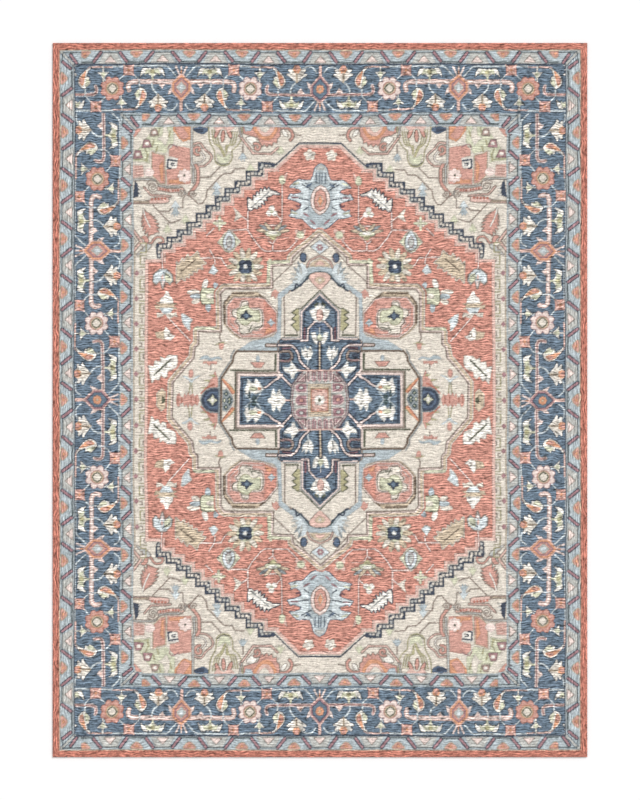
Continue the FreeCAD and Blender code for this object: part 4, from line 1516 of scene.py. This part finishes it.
def plain_weave():
    """Warp over weft: a height, and a mask for painted shade in the holes between the yarns."""
    w, given, result = new_tree("ShaderNodeTree", "plain weave",
                                {"Place": VECTOR, "Yarn Pitch": 0.0016, "Slub": 0.15},
                                {"Height": NUMBER, "Hole Shade": NUMBER, "Slubs": NUMBER})
    x, y, _ = w.parts(given["Place"])
    bend = w.times(w.minus(w.noise(given["Place"], 60.0), 0.5), given["Yarn Pitch"])
    turn = w.sum("DIVIDE", HALF_TURN, given["Yarn Pitch"])
    a = w.sum("SINE", w.times(w.plus(x, bend), turn))
    b = w.sum("SINE", w.times(w.plus(y, bend), turn))
    over = w.times(a, b)
    ribs = w.times(w.plus(w.sum("ABSOLUTE", a), w.sum("ABSOLUTE", b)), 0.5)
    w.to(w.plus(w.times(over, 0.35), ribs), result["Height"])
    w.to(w.sum("POWER", ribs, 0.5), result["Hole Shade"])
    long = w.noise(w.join(w.times(x, 24.0), w.times(y, 420.0)), 1.0, 2.0)
    w.to(w.times(w.minus(long, 0.5), w.times(given["Slub"], 2.0)), result["Slubs"])
    return w.tree


HEATHER_AND_ROW_SHADE, ENDS, WEAVE = heathered_wool_and_row_shade(), cut_ends(), plain_weave()
print("groups:", HEATHER_AND_ROW_SHADE.name, "|", ENDS.name, "|", WEAVE.name)

# %% Start of a material
def new_finish(name, **sockets):
    """A material with a Principled shader; numbers that are the same all over go straight on its sockets."""
    finish = bpy.data.materials.new(name)
    finish.use_nodes = True
    nodes = finish.node_tree.nodes
    shader = nodes["Principled BSDF"]
    for key, value in sockets.items():
        shader.inputs[key.replace("_", " ")].default_value = value
    w = Wires(finish.node_tree)
    place = w.add("ShaderNodeTexCoord").outputs["Object"]
    return finish, w, shader, place


def place_group(w, tree, **inputs):
    node = w.add("ShaderNodeGroup", node_tree=tree)
    for key, value in inputs.items():
        w.to(value, node.inputs[key.replace("_", " ")])
    return node.outputs


def raised(w, shader, height, distance):
    """Feeds a height to the shader's normal."""
    bump = w.add("ShaderNodeBump", {"Height": height, "Distance": distance, "Strength": 1.0})
    w.to(bump.outputs[0], shader.inputs["Normal"])


# %% The wools
def wool(name, row_shade, strands, batches, rough, ends=0.0011, fineness=520.0):
    finish, w, shader, place = new_finish(name, Roughness=rough, Specular_IOR_Level=0.18)
    dye_and_seam_shade_of = w.add("ShaderNodeAttribute", attribute_name="dye_and_seam_shade").outputs["Color"]
    lay_of = w.add("ShaderNodeAttribute", attribute_name="lay").outputs["Fac"]
    heather = place_group(w, HEATHER_AND_ROW_SHADE, Dye=dye_and_seam_shade_of, Place=place, Lay=lay_of, Row_Shade=row_shade, Strands=strands,
                          Batches=batches)
    w.to(heather["Colour"], shader.inputs["Base Color"])
    w.to(w.plus(w.times(heather["Shade"], -0.12), rough + 0.06), shader.inputs["Roughness"])
    raised(w, shader, place_group(w, ENDS, Place=place, Fineness=fineness)["Height"], ends)
    return finish


WOOLS = {
    "red_wool": wool("red_wool", 0.36, 0.22, 0.12, 0.92),
    "pale_blue_wool": wool("pale_blue_wool", 0.22, 0.17, 0.05, 0.9, 0.0009),
    "navy_wool": wool("navy_wool", 0.42, 0.26, 0.08, 0.88),
    "rose_wool": wool("rose_wool", 0.28, 0.20, 0.08, 0.92),
    "cream_wool": wool("cream_wool", 0.16, 0.15, 0.04, 0.94, 0.0009),
}
print("wools:", list(WOOLS))

# %% [markdown]
# The back is made of plain things: a woven canvas, a cotton tape, the tufting cloth that is turned under at the
# rim, and a skin of latex glue. Canvas, tape and cloth share one **plain weave** group at their own pitches. The
# weave is in the shader, because a canvas of this size has several million yarn crossings.

# %% Cloth finishes and latex
LATEX_COLOUR, THREAD_COLOUR = (214, 206, 184), (222, 212, 190)
THREAD_RIDGES = 9000.0           # radians of the twist in a metre


def woven(name, colour, pitch, slub, depth, rough):
    finish, w, shader, place = new_finish(name, Specular_IOR_Level=0.2)
    weave = place_group(w, WEAVE, Place=place, Yarn_Pitch=pitch, Slub=slub)
    dust = w.minus(w.noise(place, 5.0, 3.0), 0.5)
    # painted shade in the holes between the yarns, with the cloth's own slubs and dust
    tone_and_shade = w.plus(w.times(weave["Hole Shade"], 0.34), w.plus(weave["Slubs"], w.times(dust, 0.16)))
    w.to(w.scaled(tuple(linear(colour)), w.plus(tone_and_shade, 0.72)), shader.inputs["Base Color"])
    w.to(w.minus(rough + 0.05, w.times(weave["Hole Shade"], 0.1)), shader.inputs["Roughness"])
    raised(w, shader, weave["Height"], depth)
    return finish


def latex_skin():
    finish, w, shader, place = new_finish("latex", Specular_IOR_Level=0.4)
    bubbles = w.add("ShaderNodeTexVoronoi", {"Vector": place, "Scale": 160.0,
                                             "Randomness": 1.0}).outputs["Distance"]
    smear = w.noise(place, 14.0, 3.0, 0.6)
    w.to(w.scaled(tuple(linear(LATEX_COLOUR)), w.plus(w.times(smear, 0.3), 0.8)), shader.inputs["Base Color"])
    w.to(w.plus(w.times(smear, 0.3), 0.35), shader.inputs["Roughness"])
    raised(w, shader, w.plus(bubbles, smear), 0.0004)
    return finish


def cotton_thread():
    """Twisted thread: slanting ridges along each stitch."""
    finish, w, shader, place = new_finish("thread", Specular_IOR_Level=0.35)
    x, y, _ = w.parts(place)
    twist = w.sum("SINE", w.times(w.plus(x, y), THREAD_RIDGES))
    # painted light and shade: the colour is lighter on the ridges of the twist and darker in its grooves
    w.to(w.scaled(tuple(linear(THREAD_COLOUR)), w.plus(w.times(twist, 0.09), 0.95)), shader.inputs["Base Color"])
    w.to(w.plus(w.times(twist, -0.06), 0.62), shader.inputs["Roughness"])
    raised(w, shader, twist, 0.0001)
    return finish


CLOTHS = {
    "canvas": woven("canvas", (206, 194, 168), 0.0019, 0.14, 0.0004, 0.86),
    "binding_tape": woven("binding_tape", (214, 203, 180), 0.0009, 0.05, 0.0002, 0.8),
    "cloth": woven("tufting_cloth", (196, 190, 176), 0.0013, 0.08, 0.0003, 0.84),
    "latex": latex_skin(),
    "thread": cotton_thread(),
}
print("back:", list(CLOTHS))

# %% [markdown]
# ## Building the pile
# Each piece stands for the solid of its zone and takes the yarn slot of that zone's main colour.

# %% Every piece of pile
ZONE_WOOL = {"edge_band": "red_wool", "outer_guard": "pale_blue_wool", "main_border": "navy_wool",
             "inner_guard": "pale_blue_wool", "corner_spandrels": "cream_wool", "side_strips": "cream_wool",
             "field": "red_wool", "pendants": "pale_blue_wool", "medallion": "cream_wool",
             "medallion_flowers": "rose_wool", "navy_cross": "navy_wool", "centre_panel": "rose_wool",
             "border_rosettes": "cream_wool", "border_lozenges": "cream_wool"}
ROW_DEPTH = {"red": 0.5 * MM, "other": 0.3 * MM}     # the red wool lies in deeper rows
pile_pieces = []


def finish_piece(piece, node):
    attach(piece, "root")
    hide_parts(node)
    return piece


def make_pile_piece(name, mask, zone):
    depth = ROW_DEPTH["red" if ZONE_WOOL[zone] == "red_wool" else "other"]
    piece = grown(name, pile_mesh(name, mask), cut_pile, {"Row Depth": depth, "Wool": WOOLS[ZONE_WOOL[zone]]})
    return finish_piece(piece, "pile_" + zone)


for number, zone in enumerate(ZONES):
    of_zone = cells == number
    for along, y_side in (("head", cell_y > 0), ("foot", cell_y < 0)):
        for across, x_side in (("left", cell_x < 0), ("right", cell_x > 0)):
            quarter = of_zone & y_side & x_side
            parts = {"": quarter}
            if zone in BANDS:
                near = abs(cell_y) < BAND_CUT
                parts = {"_end": quarter & ~near, "_side": quarter & near}
            for suffix, mask in parts.items():
                if mask.any():
                    pile_pieces.append(make_pile_piece(f"{zone}_{along}_{across}{suffix}", mask, zone))

counts = {piece.name: sum(len(p.vertices) - 2 for p in piece.data.polygons) for piece in pile_pieces}
print("pile:", len(pile_pieces), "pieces,", sum(counts.values()), "triangles, most", max(counts.values()))

# %% [markdown]
# ## The back and the rim
# Cloth, latex and canvas are rectangles whose edges have a shape: the tufting cloth turns under and comes back as
# a hem. The easiest way to say that is a list of steps, each an inset from the cloth's rim and a height. One
# rectangle of points is laid at each step, neighbours are joined, and the first and last are closed.

# %% Shells made of rectangular loops
RIM_INSET = 3 * MM               # the cloth stops this far short of the pile's edge
RIM_X, RIM_Y = HALF_X - RIM_INSET, HALF_Y - RIM_INSET


def rectangle_loop(inset, height, step=0.06):
    x, y = RIM_X - inset * MM, RIM_Y - inset * MM
    across = np.linspace(-x, x, 2 * round(HALF_X / step) + 1)[:-1]
    along = np.linspace(-y, y, 2 * round(HALF_Y / step) + 1)[:-1]
    loop = [(v, -y) for v in across] + [(x, v) for v in along] + [(-v, y) for v in across] + [(-x, -v)
            for v in along]
    return [(a, b, height * MM) for a, b in loop]


def outward(mesh):
    """Turns all faces of a closed mesh outwards."""
    import bmesh
    form = bmesh.new()
    form.from_mesh(mesh)
    bmesh.ops.recalc_face_normals(form, faces=form.faces)
    form.to_mesh(mesh)
    form.free()
    return mesh


def closed_shell(name, loops, finish):
    """A closed shell: each loop of points is joined to the next, and the first and last are filled."""
    n = len(loops[0])
    faces = [tuple(range(n)), tuple(range((len(loops) - 1) * n, len(loops) * n))]
    for k in range(len(loops) - 1):
        faces += [(k * n + i, k * n + (i + 1) % n, (k + 1) * n + (i + 1) % n, (k + 1) * n + i) for i in range(n)]
    mesh = bpy.data.meshes.new(name)
    mesh.from_pydata([p for loop in loops for p in loop], [], faces)
    outward(mesh)
    mesh.materials.append(finish)
    return put_in_scene(name, mesh)


def layered_shell(name, steps, finish):
    """A shell from (inset, height) steps in mm, from the middle of its top to the middle of its underside."""
    return closed_shell(name, [rectangle_loop(*step) for step in steps], finish)


tufting_cloth = layered_shell("tufting_cloth_sheet", [(30, 3.5), (1.4, 3.5), (0.4, 3.3), (0, 2.8), (0, 1.6),
                                                      (0.4, 1.1), (1.4, 0.9), (29.6, 0.9), (30, 1.1), (30, 1.5),
                                                      (29.6, 1.7), (1.6, 1.7), (0.9, 2.0), (0.9, 2.4), (1.6, 2.7),
                                                      (30, 2.7)], CLOTHS["cloth"])
latex = layered_shell("latex_skin", [(6, 2.7), (1.8, 2.7), (1.1, 2.4), (1.1, 2.0), (1.8, 1.7), (30.2, 1.7),
                                     (30.2, 0.95), (31, 0.9), (36, 0.9)], CLOTHS["latex"])
canvas = layered_shell("canvas_back", [(44, 0.9), (40.3, 0.9), (40.1, 0.7), (40.1, 0.2), (40.5, 0.02), (44, 0.0)],
                       CLOTHS["canvas"])
finish_piece(tufting_cloth, "tufting_cloth")
finish_piece(latex, "latex_coat")
finish_piece(canvas, "backing_canvas")
print("back:", [(p.name, len(p.data.polygons)) for p in (tufting_cloth, latex, canvas)])

# %% [markdown]
# ### Binding tape
# A cotton tape covers the raw edge of the canvas. Its section is drawn once, with a soft groove where each line of
# stitches pulls it in, and swept along each side. The ends are cut at 45 degrees, like a picture frame.

# %% Four mitred tapes
TAPE = [(0.2, 0.25), (0.8, 0.03), (1.6, 0.0), (4.4, 0.0), (5.0, 0.5), (6.4, 0.5), (7.0, 0.0), (14, 0.06),
        (20, 0.08), (26, 0.06), (33.0, 0.0), (33.6, 0.5), (35.0, 0.5), (35.6, 0.0), (38.6, 0.0), (39.4, 0.03),
        (39.9, 0.25), (39.9, 0.7), (39.4, 0.88), (0.8, 0.88), (0.2, 0.7)]
TAPE_PARTS = 60                  # lengths that one tape is made of
ENDS_OF = {"head": (0, 1), "foot": (0, -1), "left": (-1, 0), "right": (1, 0)}


def along_side(side, inset, share, height):
    """A point of one side: inset from the rim, and a share from 0 to 1 of the way along it."""
    dx, dy = ENDS_OF[side]
    x, y = RIM_X - inset * MM, RIM_Y - inset * MM
    across = (2 * share - 1) * (x if dy else y)
    return (across, dy * y, height * MM) if dy else (dx * x, across, height * MM)


def tape(side):
    sections = [[along_side(side, inset, k / TAPE_PARTS, height) for inset, height in TAPE]
                for k in range(TAPE_PARTS + 1)]
    piece = closed_shell("binding_" + side, sections, CLOTHS["binding_tape"])
    return finish_piece(piece, "binding_tape_" + side)


tapes = [tape(side) for side in ENDS_OF]
print("tapes:", [t.name for t in tapes])

# %% [markdown]
# ### Stitches and rim tufts
# Both follow a line, over and over. One tree lays stitches end to end along the two seams of a tape. The other
# stands tufts along the outer edge, leaning out a little as they do where no neighbour holds them, each with its
# own turn, lean and length from a fixed seed.

# %% The tree "stitches"
def line_mesh(name, lines):
    mesh = bpy.data.meshes.new(name)
    points = [p for line in lines for p in line]
    mesh.from_pydata(points, [(2 * k, 2 * k + 1) for k in range(len(lines))], [])
    return mesh


def along_curve(w, given, pitch):
    """Points at a pitch along the lines, and how each is turned to follow them."""
    line = w.add("GeometryNodeMeshToCurve", {"Mesh": given["Geometry"]}).outputs[0]
    points = w.add("GeometryNodeCurveToPoints", {"Curve": line, "Length": pitch}, mode="LENGTH")
    turned = w.add("FunctionNodeAlignRotationToVector", {"Vector": points.outputs["Tangent"]}, axis="X").outputs[0]
    return points.outputs["Points"], turned


def stitch_tree():
    w, given, result = new_tree("GeometryNodeTree", "stitches", {
        "Geometry": GEOMETRY, "Stitch Pitch": 0.0075, "Stitch Length": 0.0062, "Thread Width": 0.0012,
        "Thread Height": 0.00042, "Thread": MATERIAL}, {"Geometry": GEOMETRY})
    points, turned = along_curve(w, given, given["Stitch Pitch"])
    stitch = w.add("GeometryNodeMeshUVSphere", {"Segments": 6, "Rings": 4, "Radius": 0.5}).outputs[0]
    size = w.join(given["Stitch Length"], given["Thread Width"], given["Thread Height"])
    row = w.add("GeometryNodeInstanceOnPoints", {"Points": points, "Instance": stitch, "Rotation": turned,
                                                 "Scale": size})
    realized(w, row.outputs[0], given["Thread"], result)
    return w.tree


stitches = stitch_tree()
SEAM_INSETS, SEAM_HEIGHT = (5.7, 34.3), 0.31         # mm, in the two grooves of the tape
for side in ENDS_OF:
    seam_lines = [[along_side(side, inset, share, SEAM_HEIGHT) for share in (0.002, 0.998)]
                  for inset in SEAM_INSETS]
    row = grown("stitches_" + side, line_mesh("seam_" + side, seam_lines), stitches, {"Thread": CLOTHS["thread"]})
    finish_piece(row, "seam_thread")
    print(row.name, len(row.data.polygons), "faces")

# %% The tree "rim tufts"
def rim_tree():
    w, given, result = new_tree("GeometryNodeTree", "rim tufts",
                                {"Geometry": GEOMETRY, "Tuft Pitch": 0.0032, "Tuft Height": 0.0088,
                                 "Tuft Width": 0.0038, "Lean": 0.16, "Seed": 5, "Dye": COLOUR, "Wool": MATERIAL},
                                {"Geometry": GEOMETRY})
    points, turned = along_curve(w, given, given["Tuft Pitch"])
    tuft = w.add("GeometryNodeMeshCone", {"Vertices": 5, "Side Segments": 2, "Fill Segments": 1,
                                          "Radius Top": 0.62, "Radius Bottom": 0.42, "Depth": 1.0},
                 fill_type="NGON").outputs[0]
    def chance(low, high, extra):
        seed = w.plus(given["Seed"], extra)
        return w.add("FunctionNodeRandomValue", {2: low, 3: high, "Seed": seed}, data_type="FLOAT").outputs[1]
    size = w.join(w.times(given["Tuft Width"], chance(0.8, 1.2, 1)), w.times(given["Tuft Width"], 0.62),
                  w.times(given["Tuft Height"], chance(0.86, 1.0, 2)))
    lean = w.join(w.times(given["Lean"], chance(0.4, 1.5, 3)), chance(-0.14, 0.14, 4), chance(-0.3, 0.3, 5))
    leaning = w.add("FunctionNodeEulerToRotation", {0: lean}).outputs[0]
    rotation = w.add("FunctionNodeRotateRotation", {0: turned, 1: leaning}, rotation_space="LOCAL").outputs[0]
    row = w.add("GeometryNodeInstanceOnPoints", {"Points": points, "Instance": tuft, "Rotation": rotation,
                                                 "Scale": size}).outputs[0]
    tone = w.scaled(given["Dye"], chance(0.8, 1.12, 6))
    row = w.add("GeometryNodeStoreNamedAttribute", {"Geometry": row, "Name": "dye_and_seam_shade", "Value": tone},
                data_type="FLOAT_COLOR", domain="INSTANCE").outputs[0]
    realized(w, row, given["Wool"], result)
    return w.tree


rim_tufts = rim_tree()
RIM_WAY = {"head": 1, "foot": -1, "left": 1, "right": -1}     # so that a tuft leans away from the rug
OUTSIDE, RIM_HEIGHT = -1.9, 3.8                      # mm: beyond the cloth's rim, and up from the floor
edge_dye = (*[float(v) for v in linear(YARNS["brick"])], 1.0)
for side in ENDS_OF:
    ends = [along_side(side, OUTSIDE, share, RIM_HEIGHT) for share in (0.0004, 0.9996)]
    row = grown("rim_tufts_" + side, line_mesh("rim_" + side, [ends[::RIM_WAY[side]]]), rim_tufts,
                {"Dye": edge_dye, "Wool": WOOLS["red_wool"]})
    finish_piece(row, "pile_edge_band")
    print(row.name, len(row.data.polygons), "faces")

# %% [markdown]

# %% [markdown]
# ## Floor, light and camera
# The rug is seen straight from above on a white floor. Even light from all round keeps the colours true, and a
# broad soft lamp from one side, low enough to graze the pile, shows its rows and carving.

# %% The floor
FLOOR_REACH = 300.0
FLOOR_HEIGHT = 0.6 * MM           # just above the underside of the tape, so that the back shows from below


def floor():
    mesh = bpy.data.meshes.new("floor")
    r, z = FLOOR_REACH, FLOOR_HEIGHT
    mesh.from_pydata([(-r, -r, z), (r, -r, z), (r, r, z), (-r, r, z)], [], [(0, 1, 2, 3)])
    finish, _, shader, _ = new_finish("white floor", Roughness=0.9, Specular_IOR_Level=0.1)
    shader.inputs["Base Color"].default_value = (1.0, 1.0, 1.0, 1)
    mesh.materials.append(finish)
    put_in_scene("floor", mesh)


floor()

# %% The light
SKY_STRENGTH, LAMP_STRENGTH, LAMP_ANGLE = 0.62, 1.75, 0.35
LAMP_AIM = Vector((-0.55, -0.75, -0.95))
scene = bpy.context.scene
scene.view_settings.view_transform = "Standard"
world = bpy.data.worlds.new("studio")
scene.world = world
world.use_nodes = True
sky = world.node_tree.nodes["Background"].inputs
sky["Color"].default_value = (1, 1, 1, 1)
sky["Strength"].default_value = SKY_STRENGTH
lamp = bpy.data.lights.new("soft lamp", "SUN")
lamp.energy = LAMP_STRENGTH
lamp.angle = LAMP_ANGLE
put_in_scene("soft lamp", lamp).rotation_euler = LAMP_AIM.to_track_quat("-Z", "Y").to_euler()
print("world", SKY_STRENGTH, "lamp", LAMP_STRENGTH)

# %% The camera
CAMERA_HEIGHT, SENSOR_WIDTH = 9.0, 36
SHARE_OF_VIEW = 0.834375          # how much of the picture's width the rug takes
camera = bpy.data.cameras.new("camera")
camera.sensor_fit = "HORIZONTAL"
camera.lens = SENSOR_WIDTH * CAMERA_HEIGHT * SHARE_OF_VIEW / (2 * HALF_X)
scene.camera = put_in_scene("camera", camera)
scene.camera.location = (0, 0, CAMERA_HEIGHT)
print("lens", round(camera.lens, 1), "mm")
